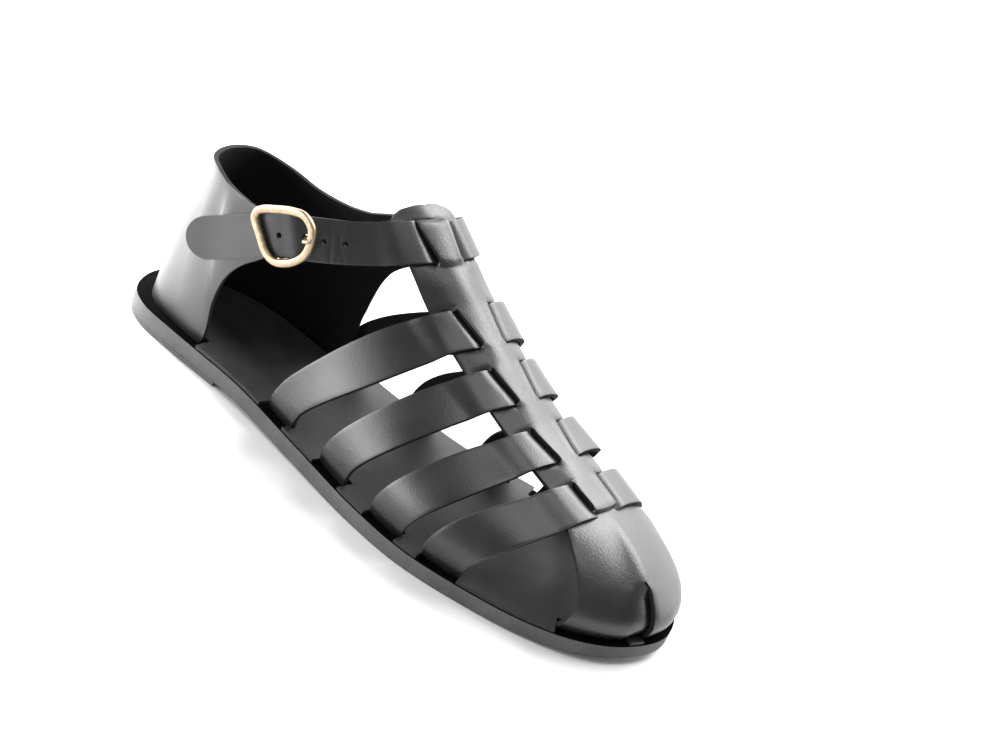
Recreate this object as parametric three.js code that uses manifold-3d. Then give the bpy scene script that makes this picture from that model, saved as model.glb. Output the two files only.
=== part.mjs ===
// A right-foot leather fisherman sandal: a flat sole, a woven cage of straps and a buckled ankle strap.
// Millimetres, +X to the toe, +Y to the inner (medial) side, +Z up, the floor at Z = 0.
import * as THREE from "three";
import { mergeVertices } from "three/addons/utils/BufferGeometryUtils.js";
import Module from "manifold-3d";

const wasm = await Module();
wasm.setup();

// Driving sizes
const LENGTH = 280;
const LEATHER = 2.2;
const GAP = 0.3;
const STRAP_WIDTH = 17.5;

// Sole stack
const HEEL_LIFT = 2.0;
const HEEL_BREAST = 66;
const INSOLE = 1.5;
const INSOLE_INSET = 0.5;

// Where the leather stands on the sole, measured in from the sole's edge to the leather's inner face
const STRAP_SEAT = 5.6;
const COUNTER_SEAT = 7.8;
const STRAP_BULGE = 2.6;

// Spine: the long strip on top of the foot
const SPINE_HALF = 18.5;
const BRIDGE_HALF = 6.8;
const SPINE_TOP = 104;
const WEAVE_RISE = LEATHER - 0.25;

// Sole outline, a row for each station from heel (0) to toe (1), in shares of the length
const SOLE = [
  { at: 0.02, lateral: 0.067, medial: 0.057 },
  { at: 0.06, lateral: 0.098, medial: 0.101 },
  { at: 0.14, lateral: 0.111, medial: 0.132 },
  { at: 0.28, lateral: 0.123, medial: 0.131 },
  { at: 0.42, lateral: 0.154, medial: 0.122 },
  { at: 0.56, lateral: 0.186, medial: 0.127 },
  { at: 0.66, lateral: 0.196, medial: 0.153 },
  { at: 0.76, lateral: 0.182, medial: 0.167 },
  { at: 0.86, lateral: 0.154, medial: 0.158 },
  { at: 0.93, lateral: 0.117, medial: 0.127 },
  { at: 0.975, lateral: 0.068, medial: 0.09 },
];
const TOE_TIP = 0.009;

// Side profile of the outsole above the floor
const PROFILE = [
  { at: 0.0, bottom: 2.3, top: 9.3 },
  { at: 0.24, bottom: 2.3, top: 9.1 },
  { at: 0.4, bottom: 0.9, top: 7.9 },
  { at: 0.55, bottom: 0.0, top: 6.9 },
  { at: 0.74, bottom: 0.0, top: 6.6 },
  { at: 0.88, bottom: 1.3, top: 7.3 },
  { at: 1.0, bottom: 4.6, top: 10.1 },
];

// Top line of the foot under the spine
const RIDGE = [
  { x: 100, y: 6.0, z: 108.5 },
  { x: 119, y: 5.5, z: 96.6 },
  { x: 140, y: 5.0, z: 82.5 },
  { x: 168, y: 4.0, z: 67.0 },
  { x: 196, y: 3.2, z: 54.0 },
  { x: 224, y: 2.4, z: 44.5 },
  { x: 240, y: 2.0, z: 39.5 },
];

// Cross straps: where each stands on the two edges and crosses the spine; its width at the sole, half way and on top
const STRAPS = [
  { lateral: 99.5, crossing: 151.5, medial: 86, foot: 15, middle: 20.5, width: 17.5 },
  { lateral: 137, crossing: 175.5, medial: 130, foot: 16, middle: 18.5, width: 17 },
  { lateral: 170.5, crossing: 202, medial: 167, foot: 17, middle: 18.5, width: 16.5 },
  { lateral: 200.5, crossing: 228, medial: 199, foot: 17.5, middle: 18.5, width: 17 },
];

// Heel counter and ankle strap as one strip: the lower and the upper edge of its inner face
const COLLAR = [
  { lower: [70.5, -28.7, 72.0], upper: [63.0, -28.3, 84.5], bulge: 0 },
  { lower: [64.5, -29.3, 63.0], upper: [52.5, -28.0, 80.5], bulge: 0.5 },
  { lower: [56.5, -29.3, 54.5], upper: [45.0, -27.5, 80.4], bulge: 1 },
  { lower: [51.5, -28.6, 45.0], upper: [40.5, -27.0, 80.6], bulge: 1.5 },
  { lower: [49.3, -27.2, 32.0], upper: [37.5, -26.5, 80.9], bulge: 2 },
  { lower: [49.0, -24.7, 9.6], upper: [34.5, -25.8, 81.2], bulge: 2.4 },
  { lower: [33.0, -22.8, 9.6], upper: [27.0, -23.0, 82.6], bulge: 2.4 },
  { lower: [16.5, -17.6, 9.6], upper: [18.3, -15.0, 82.0], bulge: 1.6 },
  { lower: [7.9, 0.0, 9.6], upper: [14.5, 0.0, 81.2], bulge: 0.8 },
  { lower: [16.0, 18.6, 9.6], upper: [17.6, 15.5, 79.4], bulge: 1.4 },
  { lower: [33.0, 27.6, 9.6], upper: [29.0, 23.8, 76.4], bulge: 1.6 },
  { lower: [52.0, 29.4, 9.5], upper: [46.0, 26.2, 74.2], bulge: 1.4 },
  { lower: [72.0, 29.2, 9.3], upper: [60.0, 26.8, 75.4], bulge: 1.2 },
  { lower: [86.5, 28.6, 9.1], upper: [69.0, 26.6, 77.8], bulge: 1.2 },
  { lower: [87.5, 29.6, 36.0], upper: [74.0, 26.2, 79.8], bulge: 0.6 },
  { lower: [91.0, 30.4, 58.5], upper: [81.0, 27.0, 83.4], bulge: 0.2 },
  { lower: [106.0, 30.0, 74.0], upper: [95.5, 28.0, 90.2], bulge: 0 },
  { lower: [125.6, 23.6, 90.0], upper: [111.8, 22.4, 100.4], bulge: 0 },
  { lower: [126.0, 6.0, 91.6], upper: [111.5, 6.0, 101.2], bulge: 0 },
  { lower: [117.0, -8.5, 88.2], upper: [102.5, -6.5, 99.6], bulge: 0 },
  { lower: [102.5, -20.5, 81.8], upper: [91.5, -18.8, 95.8], bulge: 0 },
  { lower: [86.0, -28.6, 75.0], upper: [76.5, -27.6, 90.6], bulge: 0 },
  { lower: [73.6, -32.2, 70.3], upper: [64.6, -31.8, 85.7], bulge: 0 },
  { lower: [60.4, -32.6, 61.6], upper: [51.2, -31.4, 76.9], bulge: 0 },
  { lower: [45.2, -32.0, 51.0], upper: [35.4, -30.2, 66.4], bulge: 0 },
  { lower: [34.6, -29.6, 44.8], upper: [25.2, -27.6, 60.2], bulge: 0 },
];
const COLLAR_CROSSING = 18;
const ANKLE_CROSSING = 119.2;
const TIP_ROUND = 0.035;

// Toe cap: where its two lobes reach the sole, and the dart between them
const CAP_START = 234;
const CAP_REACH = { lateral: 23, medial: 18.5 };
const CAP_LATERAL = 250;
const CAP_MEDIAL = 249;
const CAP_SWING = 0.012;
const DART_AT = 0.471;
const DART_GAP = 0.0088;
const DART_TIP = 0.47;

// Buckle, in its own frame: u along the strap to the front, v up across it, n out of the foot
const BUCKLE_CENTRE = new THREE.Vector3(69, -28.6, 78);
const BUCKLE_FORWARD = new THREE.Vector3(0.83, 0.05, 0.555);
const BUCKLE_OUT = new THREE.Vector3(-0.03, -1, 0.04);
const FRAME = { front: 19.4, half: 12.8, bar: 3.3, thick: 2.6, lift: 6.1 };
const FRAME_OUTLINE = [
  { u: -10.7, v: 8.2 },
  { u: -8.4, v: 11.5 },
  { u: -4.4, v: 12.5 },
  { u: 1.5, v: 12.1 },
  { u: 9.0, v: 11.1 },
  { u: 15.8, v: 8.6 },
  { u: 19.4, v: 2.6 },
  { u: 18.2, v: -4.2 },
  { u: 13.2, v: -10.6 },
  { u: 5.5, v: -13.2 },
  { u: -2.4, v: -12.2 },
  { u: -6.6, v: -8.2 },
  { u: -9.4, v: 1.0 },
];
const BAR_RADIUS = 0.9;
const BAR_OUT = 0.3;
const HOLE_RADIUS = 1.2;
const PRONG_HOLE_RADIUS = 1.9;
const PRONG_HOLE = { u: 11.9, v: -2.0 };
const HOLES = [
  { u: 0.4, v: -0.3, inner: 1.9 },
  { u: 18.0, v: -4.2, inner: -9 },
  { u: 26.0, v: -5.9, inner: -14 },
];

const vec = (x, y, z) => new THREE.Vector3(x, y, z);
const mix = THREE.MathUtils.lerp;
const clamp = THREE.MathUtils.clamp;
const ease = (value, from, to) => THREE.MathUtils.smoothstep(value, from, to);

// Smooth value of a table's column at any place along its first column
function column(rows, place, name) {
  const points = rows.map((row) => vec(row[place], row[name], 0));
  const first = rows[0][place];
  const last = rows[rows.length - 1][place];
  const slope = points.map((p, i) => {
    const before = points[Math.max(i - 1, 0)];
    const after = points[Math.min(i + 1, points.length - 1)];
    return (after.y - before.y) / (after.x - before.x);
  });
  return (at) => {
    const x = clamp(at, first, last);
    let i = 0;
    while (i < points.length - 2 && x > points[i + 1].x) i += 1;
    const span = points[i + 1].x - points[i].x;
    const t = (x - points[i].x) / span;
    const [t2, t3] = [t * t, t * t * t];
    return (
      (2 * t3 - 3 * t2 + 1) * points[i].y +
      (t3 - 2 * t2 + t) * span * slope[i] +
      (3 * t2 - 2 * t3) * points[i + 1].y +
      (t3 - t2) * span * slope[i + 1]
    );
  };
}

// A geometry as a solid for joining and cutting
function solid(geometry) {
  const plain = new THREE.BufferGeometry();
  plain.setAttribute("position", geometry.getAttribute("position"));
  if (geometry.index) plain.setIndex(geometry.index);
  const merged = mergeVertices(plain, 1e-4);
  const make = (triVerts) =>
    new wasm.Manifold(
      new wasm.Mesh({ numProp: 3, vertProperties: merged.attributes.position.array, triVerts }),
    );
  const faces = new Uint32Array(merged.index.array);
  const made = make(faces);
  return made.volume() > 0 ? made : make(faces.map((_, i) => faces[i - (i % 3) + (2 - (i % 3))]));
}

// A solid back as a geometry
function geometryOf(made) {
  const mesh = made.getMesh();
  const geometry = new THREE.BufferGeometry();
  geometry.setAttribute("position", new THREE.BufferAttribute(mesh.vertProperties, 3));
  geometry.setIndex(new THREE.BufferAttribute(mesh.triVerts, 1));
  geometry.computeVertexNormals();
  return geometry;
}

// A closed slab over a grid: face(u, v) gives its inner and its outer point
function slab(face, across, along) {
  const positions = [];
  const index = (layer, i, j) => layer * (across + 1) * (along + 1) + i * (along + 1) + j;
  for (const layer of [0, 1]) {
    for (let i = 0; i <= across; i += 1) {
      for (let j = 0; j <= along; j += 1) positions.push(...face(i / across, j / along)[layer].toArray());
    }
  }
  const faces = [];
  const quad = (a, b, c, d) => faces.push(a, b, c, a, c, d);
  for (let i = 0; i < across; i += 1) {
    for (let j = 0; j < along; j += 1) {
      quad(index(0, i, j), index(0, i, j + 1), index(0, i + 1, j + 1), index(0, i + 1, j));
      quad(index(1, i, j), index(1, i + 1, j), index(1, i + 1, j + 1), index(1, i, j + 1));
    }
    quad(index(0, i, 0), index(0, i + 1, 0), index(1, i + 1, 0), index(1, i, 0));
    quad(index(0, i + 1, along), index(0, i, along), index(1, i, along), index(1, i + 1, along));
  }
  for (let j = 0; j < along; j += 1) {
    quad(index(0, 0, j + 1), index(0, 0, j), index(1, 0, j), index(1, 0, j + 1));
    quad(index(0, across, j), index(0, across, j + 1), index(1, across, j + 1), index(1, across, j));
  }
  const geometry = new THREE.BufferGeometry();
  geometry.setAttribute("position", new THREE.Float32BufferAttribute(positions, 3));
  geometry.setIndex(faces);
  return solid(geometry);
}

// Sole edge as a closed curve from the heel along the lateral side to the toe and back
const edgeCurve = new THREE.CatmullRomCurve3(
  [
    vec(0, 0, 0),
    ...SOLE.map((row) => vec(row.at * LENGTH, -row.lateral * LENGTH, 0)),
    vec(LENGTH, TOE_TIP * LENGTH, 0),
    ...SOLE.toReversed().map((row) => vec(row.at * LENGTH, row.medial * LENGTH, 0)),
  ],
  true,
  "centripetal",
);
const inward = (t) => {
  const along = edgeCurve.getTangent(t);
  return vec(-along.y, along.x, 0);
};
const edge = (t, inset) => edgeCurve.getPoint(t).addScaledVector(inward(t), inset);

// Place on the edge curve at a distance from the heel, on one side
function edgePlace(x, side) {
  let [low, high] = side === "lateral" ? [0, 0.5] : [1, 0.5];
  for (let step = 0; step < 40; step += 1) {
    const middle = (low + high) / 2;
    if (edgeCurve.getPoint(middle).x < x) low = middle;
    else high = middle;
  }
  return low;
}

const soleTop = column(PROFILE, "at", "top");
const soleCurve = column(PROFILE, "at", "bottom");
const soleBottom = (at) => Math.max(soleCurve(at), 0);
const rim = (x) => soleTop(x / LENGTH);
const ridgeY = column(RIDGE, "x", "y");
const ridgeZ = column(RIDGE, "x", "z");

// A layer of the sole between two heights, from one end to the other
function layer(bottom, top, inset, from, to, stations) {
  const station = (u) => {
    const x = from + (to - from) * (1 - Math.cos(Math.PI * u)) / 2;
    return clamp(x, 0.25, LENGTH - 0.25);
  };
  return slab(
    (u, v) => {
      const x = station(u);
      const sides = [edge(edgePlace(x, "lateral"), inset), edge(edgePlace(x, "medial"), inset)];
      const place = sides[0].lerp(sides[1], v);
      return [vec(place.x, place.y, bottom(place.x)), vec(place.x, place.y, top(place.x))];
    },
    stations,
    1,
  );
}

// A cutter along the edge that opens the insole from its rim inwards
function notch(from, to, depth) {
  return slab(
    (u, v) => {
      const place = edge(mix(from, to, u), mix(-4, depth, v));
      return [vec(place.x, place.y, 0), vec(place.x, place.y, 30)];
    },
    Math.max(4, Math.round(Math.abs(to - from) * 90)),
    1,
  );
}

// Cross section of the foot from its top (q = 0) over the side to the sole (q = 1): steep outside, full inside
const SHOULDER = 0.8;
const SHAPE = {
  lateral: { top: 2.0, side: 2.0, sweep: 1.3, forward: 0, shoulder: 12 },
  medial: { top: 2.7, side: 2.25, sweep: 1.75, forward: 16, shoulder: 6 },
  toe: { top: 1.45, side: 1.6, sweep: 0, forward: 0, shoulder: 9 },
};
function section(q, shape) {
  const share = Math.min(q / SHOULDER, 1);
  const angle = share * Math.PI / 2;
  const out = Math.pow(Math.sin(angle), 2 / shape.top);
  return {
    out,
    up: Math.pow(Math.max(Math.cos(angle), 0), 2 / shape.side),
    swept: shape.sweep > 0 ? Math.pow(share, shape.sweep) : out,
    ahead: shape.forward * Math.sin(Math.PI * share),
    tuck: Math.max(q - SHOULDER, 0) / (1 - SHOULDER),
  };
}

// Height of a strip where it meets the spine: under its middle, over its wings
function weave(distance) {
  const d = Math.abs(distance);
  if (d < SPINE_HALF) return WEAVE_RISE * ease(d, BRIDGE_HALF - 0.2, BRIDGE_HALF + 1.6);
  return WEAVE_RISE * (1 - ease(d, SPINE_HALF + 0.5, SPINE_HALF + 11));
}

// Point of a foot side: from a top point, down to a place on the sole's edge
function sidePoint(top, place, q, shape) {
  const { out, up, swept, ahead, tuck } = section(q, shape);
  const widest = edge(place, STRAP_SEAT - STRAP_BULGE);
  const foot = edge(place, STRAP_SEAT);
  const seat = rim(foot.x) - 0.5;
  const shoulder = seat + shape.shoulder;
  if (tuck > 0) {
    const point = widest.lerp(foot, tuck * tuck);
    return vec(point.x, point.y, mix(shoulder, seat, tuck));
  }
  return vec(mix(top.x, widest.x, swept) + ahead, mix(top.y, widest.y, out), mix(shoulder, top.z, up));
}

// A cross strap as one slab from edge to edge, under the spine's middle and over its wings
function crossStrap(row) {
  const top = vec(row.crossing, ridgeY(row.crossing), ridgeZ(row.crossing));
  const places = [edgePlace(row.lateral, "lateral"), edgePlace(row.medial, "medial")];
  const shapes = [SHAPE.lateral, SHAPE.medial];
  const centre = (s) => sidePoint(top, places[s < 0 ? 0 : 1], Math.abs(s), shapes[s < 0 ? 0 : 1]);
  const spineAlong = vec(1, ridgeY(row.crossing + 0.5) - ridgeY(row.crossing - 0.5),
    ridgeZ(row.crossing + 0.5) - ridgeZ(row.crossing - 0.5)).normalize();
  const edgeAlong = places.map((place, i) => edgeCurve.getTangent(place).multiplyScalar(i ? -1 : 1));
  return slab(
    (u, v) => {
      const s = u * 2 - 1;
      const point = centre(s);
      const travel = centre(Math.min(s + 0.01, 1)).sub(centre(Math.max(s - 0.01, -1))).normalize();
      const share = ease(Math.abs(s), 0.1, 0.8);
      const width = spineAlong.clone().lerp(edgeAlong[s < 0 ? 0 : 1], share);
      width.addScaledVector(travel, -width.dot(travel)).normalize();
      const out = vec(0, 0, 0).crossVectors(width, travel).normalize();
      const rise = weave(point.distanceTo(top));
      const above = mix(row.width, row.middle, ease(Math.abs(s), 0.15, 0.4));
      const wide = mix(above, row.foot, ease(Math.abs(s), 0.45, 0.85));
      const inner = point.addScaledVector(width, (v - 0.5) * wide).addScaledVector(out, rise);
      return [inner, inner.clone().addScaledVector(out, LEATHER)];
    },
    40,
    1,
  );
}

// Where the foot's side that starts at a place on the ridge comes down to the sole's edge
function sideFoot(x, side) {
  const last = STRAPS[STRAPS.length - 1];
  const inside = clamp(x, STRAPS[0].crossing, last.crossing);
  return edgePlace(column(STRAPS, "crossing", side)(inside) + x - inside, side);
}

// Inner and outer point of the spine at a distance from its middle line, raised by some height
function spinePoint(x, aside, rise) {
  const inner = spineFace(x, aside);
  const along = spineFace(x + 0.5, aside).sub(spineFace(x - 0.5, aside));
  const across = spineFace(x, aside + 0.4).sub(spineFace(x, aside - 0.4));
  const out = vec(0, 0, 0).crossVectors(along, across).normalize();
  inner.addScaledVector(out, rise);
  return [inner, inner.clone().addScaledVector(out, LEATHER)];
}

// Point of the foot's top, at a distance from the ridge measured over the section; flatter under the ankle strap
const FLAT_TOP = { lateral: 0.3, medial: 0.15 };
const FLAT_FROM = 122;
const FLAT_TO = 146;
function spineFace(x, aside) {
  const side = aside < 0 ? "lateral" : "medial";
  const top = vec(x, ridgeY(x), ridgeZ(x));
  const place = sideFoot(x, side);
  const flat = mix(FLAT_TOP[side], 1, ease(x, FLAT_FROM, FLAT_TO));
  let [point, rest, q] = [top, Math.abs(aside), 0];
  while (q < 1) {
    q += 0.03;
    const next = sidePoint(top, place, q, SHAPE[side]);
    next.z = mix(top.z, next.z, flat);
    const step = next.distanceTo(point);
    if (step >= rest) return point.clone().lerp(next, rest / step);
    rest -= step;
    point = next;
  }
  return point;
}

// The spine: a strip along the top of the foot with a round upper end
function spine() {
  return slab(
    (u, v) => {
      const x = mix(SPINE_TOP, CAP_START + 2, u * u * 0.55 + u * 0.45);
      const round = Math.sqrt(1 - Math.pow(1 - Math.min((x - SPINE_TOP + 0.4) / 9, 1), 2));
      return spinePoint(x, (v * 2 - 1) * SPINE_HALF * round, 0);
    },
    27,
    6,
  );
}

// The spine's middle where it lies over a strap
function bridge(crossing, width) {
  const reach = width / 2 + 4;
  return slab(
    (u, v) => {
      const offset = (u * 2 - 1) * reach;
      const slope = ridgeZ(crossing + 0.5) - ridgeZ(crossing - 0.5);
      const x = crossing + offset / Math.hypot(1, slope);
      const rise = WEAVE_RISE * (1 - ease(Math.abs(offset), reach - 5, reach));
      return spinePoint(x, (v * 2 - 1) * BRIDGE_HALF, rise);
    },
    10,
    4,
  );
}

// One lobe of the toe cap, from the spine's end round the toe to the sole
function lobe(side) {
  const corner = side < 0 ? edgePlace(CAP_LATERAL, "lateral") : edgePlace(CAP_MEDIAL, "medial");
  return slab(
    (u, v) => {
      const q = mix(0.06, 1, u);
      const open = ease(q, DART_TIP, DART_TIP + 0.06) * mix(0.4, 1, clamp((q - DART_TIP) / (1 - DART_TIP), 0, 1));
      const middle = DART_AT + side * (DART_GAP * open - 0.002 * (1 - open));
      const lobePoint = (share, height) => {
        const reach = side < 0 ? CAP_REACH.lateral : CAP_REACH.medial;
        const start = spinePoint(CAP_START, side * reach * (1 - share), 0)[0];
        const swing = side * CAP_SWING * Math.sin(Math.PI * height) * (1 - share);
        return sidePoint(start, mix(corner, middle, share) - swing, height, SHAPE.toe);
      };
      const point = lobePoint(v, q);
      const down = lobePoint(v, Math.min(q + 0.01, 1)).sub(lobePoint(v, q - 0.01));
      const across = lobePoint(Math.min(v + 0.02, 1), q).sub(lobePoint(Math.max(v - 0.02, 0), q));
      const out = vec(0, 0, 0).crossVectors(down, across).multiplyScalar(-side).normalize();
      return [point, point.clone().addScaledVector(out, LEATHER)];
    },
    14,
    6,
  );
}

// Heel counter and ankle strap: a strip between its two edges
function collar() {
  const lower = new THREE.CatmullRomCurve3(COLLAR.map((row) => vec(...row.lower)), false, "centripetal");
  const upper = new THREE.CatmullRomCurve3(COLLAR.map((row) => vec(...row.upper)), false, "centripetal");
  const rows = COLLAR.map((row, i) => ({ ...row, at: i / (COLLAR.length - 1) }));
  const bulge = column(rows, "at", "bulge");
  const crossing = COLLAR_CROSSING / (COLLAR.length - 1);
  const middleAt = (t) => lower.getPoint(t).lerp(upper.getPoint(t), 0.5);
  return slab(
    (u, v) => {
      const t = clamp(u, 0, 1);
      const round = Math.sqrt(1 - Math.pow(1 - Math.min((1 - t + 1e-4) / TIP_ROUND, 1), 2));
      const share = 0.5 + (v - 0.5) * round;
      const point = lower.getPoint(t).lerp(upper.getPoint(t), share);
      const up = upper.getPoint(t).sub(lower.getPoint(t)).normalize();
      const travel = middleAt(Math.min(t + 0.004, 1)).sub(middleAt(Math.max(t - 0.004, 0))).normalize();
      const out = vec(0, 0, 0).crossVectors(up, travel).normalize();
      const swell = bulge(t) * Math.sin(Math.PI * share);
      const aside = middleAt(t).distanceTo(middleAt(crossing));
      const rise = Math.abs(t - crossing) < 0.08 ? weave(aside) : 0;
      const inner = point.addScaledVector(out, swell + rise);
      return [inner, inner.clone().addScaledVector(out, LEATHER)];
    },
    84,
    3,
  );
}

// Buckle frame of reference as a matrix
function buckleMatrix() {
  const along = BUCKLE_FORWARD.clone().normalize();
  const out = BUCKLE_OUT.clone().addScaledVector(along, -BUCKLE_OUT.dot(along)).normalize();
  const up = vec(0, 0, 0).crossVectors(out, along);
  return new THREE.Matrix4().makeBasis(along, up, out).setPosition(BUCKLE_CENTRE);
}
const inBuckle = (geometry) => solid(geometry.applyMatrix4(buckleMatrix()));

// A round rod between two points of the buckle's frame
function rod(from, to, radius) {
  const geometry = new THREE.CylinderGeometry(radius, radius, from.distanceTo(to), 12);
  const turn = new THREE.Quaternion().setFromUnitVectors(vec(0, 1, 0), to.clone().sub(from).normalize());
  geometry.applyQuaternion(turn);
  return inBuckle(geometry.translate(...from.clone().add(to).multiplyScalar(0.5).toArray()));
}

// A rounded bar that follows the frame's outline all the way round
const frameCurve = new THREE.CatmullRomCurve3(FRAME_OUTLINE.map((row) => vec(row.u, row.v, 0)), true, "centripetal");
const RING_STEPS = 44;
const RING_SIDES = 10;
function frameRing() {
  const positions = [];
  const faces = [];
  const index = (i, j) => (i % RING_STEPS) * RING_SIDES + (j % RING_SIDES);
  for (let i = 0; i < RING_STEPS; i += 1) {
    const point = frameCurve.getPoint(i / RING_STEPS);
    const along = frameCurve.getTangent(i / RING_STEPS);
    for (let j = 0; j < RING_SIDES; j += 1) {
      const turn = (j / RING_SIDES) * Math.PI * 2;
      const flat = (value) => Math.sign(value) * Math.pow(Math.abs(value), 0.7);
      const inset = (FRAME.bar / 2) * (1 + flat(Math.cos(turn)));
      const height = FRAME.lift + (FRAME.thick / 2) * (1 + flat(Math.sin(turn)));
      positions.push(point.x + along.y * inset, point.y - along.x * inset, height);
      faces.push(index(i, j), index(i + 1, j), index(i + 1, j + 1));
      faces.push(index(i, j), index(i + 1, j + 1), index(i, j + 1));
    }
  }
  const geometry = new THREE.BufferGeometry();
  geometry.setAttribute("position", new THREE.Float32BufferAttribute(positions, 3));
  geometry.setIndex(faces);
  return inBuckle(geometry);
}

// Frame, with a low middle bar on two short legs
function buckleFrame() {
  const arm = FRAME.half - FRAME.bar / 2;
  const legs = [-arm, arm].map((v) => rod(vec(0, v, BAR_OUT - BAR_RADIUS), vec(0, v, FRAME.lift + 1), 1.0));
  const bar = rod(vec(0, -arm, BAR_OUT), vec(0, arm, BAR_OUT), BAR_RADIUS);
  return frameRing().add(bar).add(legs[0]).add(legs[1]);
}

// Prong: an eye round the bar and a finger that rises through the strap on to the frame's front
function buckleProng() {
  const eye = new THREE.TorusGeometry(BAR_RADIUS + GAP + 0.6, 0.6, 6, 16).rotateX(Math.PI / 2);
  const rest = FRAME.lift + FRAME.thick + GAP + 0.8;
  const path = new THREE.CatmullRomCurve3([
    vec(1.8, 0, BAR_OUT),
    vec(5, -0.8, BAR_OUT - 0.2),
    vec(PRONG_HOLE.u - 2.6, PRONG_HOLE.v + 0.4, -0.8),
    vec(PRONG_HOLE.u - 0.2, PRONG_HOLE.v, 0.9),
    vec(PRONG_HOLE.u + 1.1, PRONG_HOLE.v - 0.2, 4.2),
    vec(FRAME.front - FRAME.bar - 1.0, PRONG_HOLE.v - 0.9, rest),
    vec(FRAME.front - 1.4, PRONG_HOLE.v - 1.2, rest),
  ]);
  const round = new THREE.Shape().absarc(0, 0, 0.8, 0, Math.PI * 2, false);
  const finger = new THREE.ExtrudeGeometry(round, { steps: 16, curveSegments: 5, extrudePath: path });
  return inBuckle(eye.translate(0, 0, BAR_OUT)).add(inBuckle(finger));
}

// The counter's end folded round the bar
function barFold() {
  const inside = BAR_RADIUS + GAP;
  const outside = inside + 1.2;
  const shape = new THREE.Shape();
  shape.absarc(0, 0, outside, -Math.PI / 2, Math.PI / 2, false);
  shape.lineTo(-3.2, outside);
  shape.lineTo(-3.2, inside);
  shape.absarc(0, 0, inside, Math.PI / 2, -Math.PI / 2, true);
  shape.lineTo(-3.2, -inside);
  shape.lineTo(-3.2, -outside);
  const wide = STRAP_WIDTH - 2.6;
  const fold = new THREE.ExtrudeGeometry(shape, { depth: wide, bevelEnabled: false, curveSegments: 10 });
  fold.rotateX(Math.PI / 2).translate(0, wide / 2, BAR_OUT);
  return inBuckle(fold);
}

// Everything of the upper, joined where it crosses
function upper() {
  const room = rod(vec(0, -FRAME.half, BAR_OUT), vec(0, FRAME.half, BAR_OUT), BAR_RADIUS + GAP);
  let made = collar();
  const clearance = new THREE.BoxGeometry(9, 2 * FRAME.half + 6, 5.4).translate(4.1, 0, 0.2);
  const eyeSlot = new THREE.BoxGeometry(12, 4.4, 9).translate(2.4, 0, -1.6);
  made = made.subtract(inBuckle(clearance).intersect(lowSide())).add(barFold());
  made = made.subtract(room).subtract(inBuckle(eyeSlot));
  made = made.add(spine()).add(lobe(-1)).add(lobe(1));
  for (const row of STRAPS) made = made.add(crossStrap(row)).add(bridge(row.crossing, row.width));
  made = made.add(bridge(ANKLE_CROSSING, STRAP_WIDTH));
  for (const { u, v, inner } of HOLES) made = made.subtract(rod(vec(u, v, inner), vec(u, v, 14), HOLE_RADIUS));
  for (const stretch of [-1.2, 0, 1.2]) {
    const u = PRONG_HOLE.u + stretch;
    made = made.subtract(rod(vec(u, PRONG_HOLE.v, -4), vec(u, PRONG_HOLE.v, 14), PRONG_HOLE_RADIUS));
  }
  made = made.subtract(layer(() => -9, (x) => rim(x) + GAP, -8, 0, LENGTH, 56));
  // Pockets shut in between crossing strips are filled
  const bodies = made.decompose().filter((body) => body.volume() > 0);
  return bodies.reduce((whole, body) => whole.add(body));
}

// The half space of the counter's own layer at the buckle
function lowSide() {
  return inBuckle(new THREE.BoxGeometry(60, 60, 6).translate(0, 0, -0.1));
}

function insole() {
  const top = (x) => rim(x) + GAP + INSOLE;
  let made = layer((x) => rim(x) + GAP, top, INSOLE_INSET, 0, LENGTH, 56);
  for (const row of STRAPS) {
    for (const side of ["lateral", "medial"]) {
      const reach = row.foot / 2 + 2.4;
      const places = [edgePlace(row[side] - reach, side), edgePlace(row[side] + reach, side)];
      made = made.subtract(notch(...places, STRAP_SEAT + 0.9));
    }
  }
  const dart = 0.006;
  made = made.subtract(notch(edgePlace(CAP_LATERAL - 2, "lateral"), DART_AT - dart, STRAP_SEAT + 1.5));
  made = made.subtract(notch(DART_AT + dart, edgePlace(CAP_MEDIAL - 2, "medial"), STRAP_SEAT + 1.5));
  made = made.subtract(notch(0, edgePlace(54, "lateral"), COUNTER_SEAT + 1.5));
  return made.subtract(notch(edgePlace(91, "medial"), 1, COUNTER_SEAT + 1.5));
}

const outsole = () => layer((x) => soleBottom(x / LENGTH), rim, 0, 0, LENGTH, 64);
const heelLift = () => layer(() => 0, () => HEEL_LIFT, 0.3, 0, HEEL_BREAST, 24);

const LOOKS = {
  outsole: { color: 0x55565a, roughness: 0.9, metalness: 0 },
  heel_lift: { color: 0x3c3d40, roughness: 0.9, metalness: 0 },
  insole: { color: 0x2b2b2e, roughness: 0.7, metalness: 0 },
  upper: { color: 0x17171a, roughness: 0.45, metalness: 0 },
  buckle_frame: { color: 0xcdbb95, roughness: 0.35, metalness: 1 },
  buckle_prong: { color: 0xcdbb95, roughness: 0.35, metalness: 1 },
};
const SOLIDS = {
  outsole: outsole(),
  heel_lift: heelLift(),
  insole: insole(),
  upper: upper(),
  buckle_frame: buckleFrame(),
  buckle_prong: buckleProng(),
};

// The origin is the middle of the whole sandal's box, on the floor
const boxes = Object.values(SOLIDS).map((made) => made.boundingBox());
const middleOf = (axis) => {
  const low = Math.min(...boxes.map((box) => box.min[axis]));
  const high = Math.max(...boxes.map((box) => box.max[axis]));
  return (low + high) / 2;
};
const sandal = new THREE.Group();
sandal.name = "sandal";
for (const [name, made] of Object.entries(SOLIDS)) {
  const geometry = geometryOf(made).translate(-middleOf(0), -middleOf(1), 0);
  const mesh = new THREE.Mesh(geometry, new THREE.MeshStandardMaterial(LOOKS[name]));
  mesh.name = name;
  sandal.add(mesh);
}

export default sandal;
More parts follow.
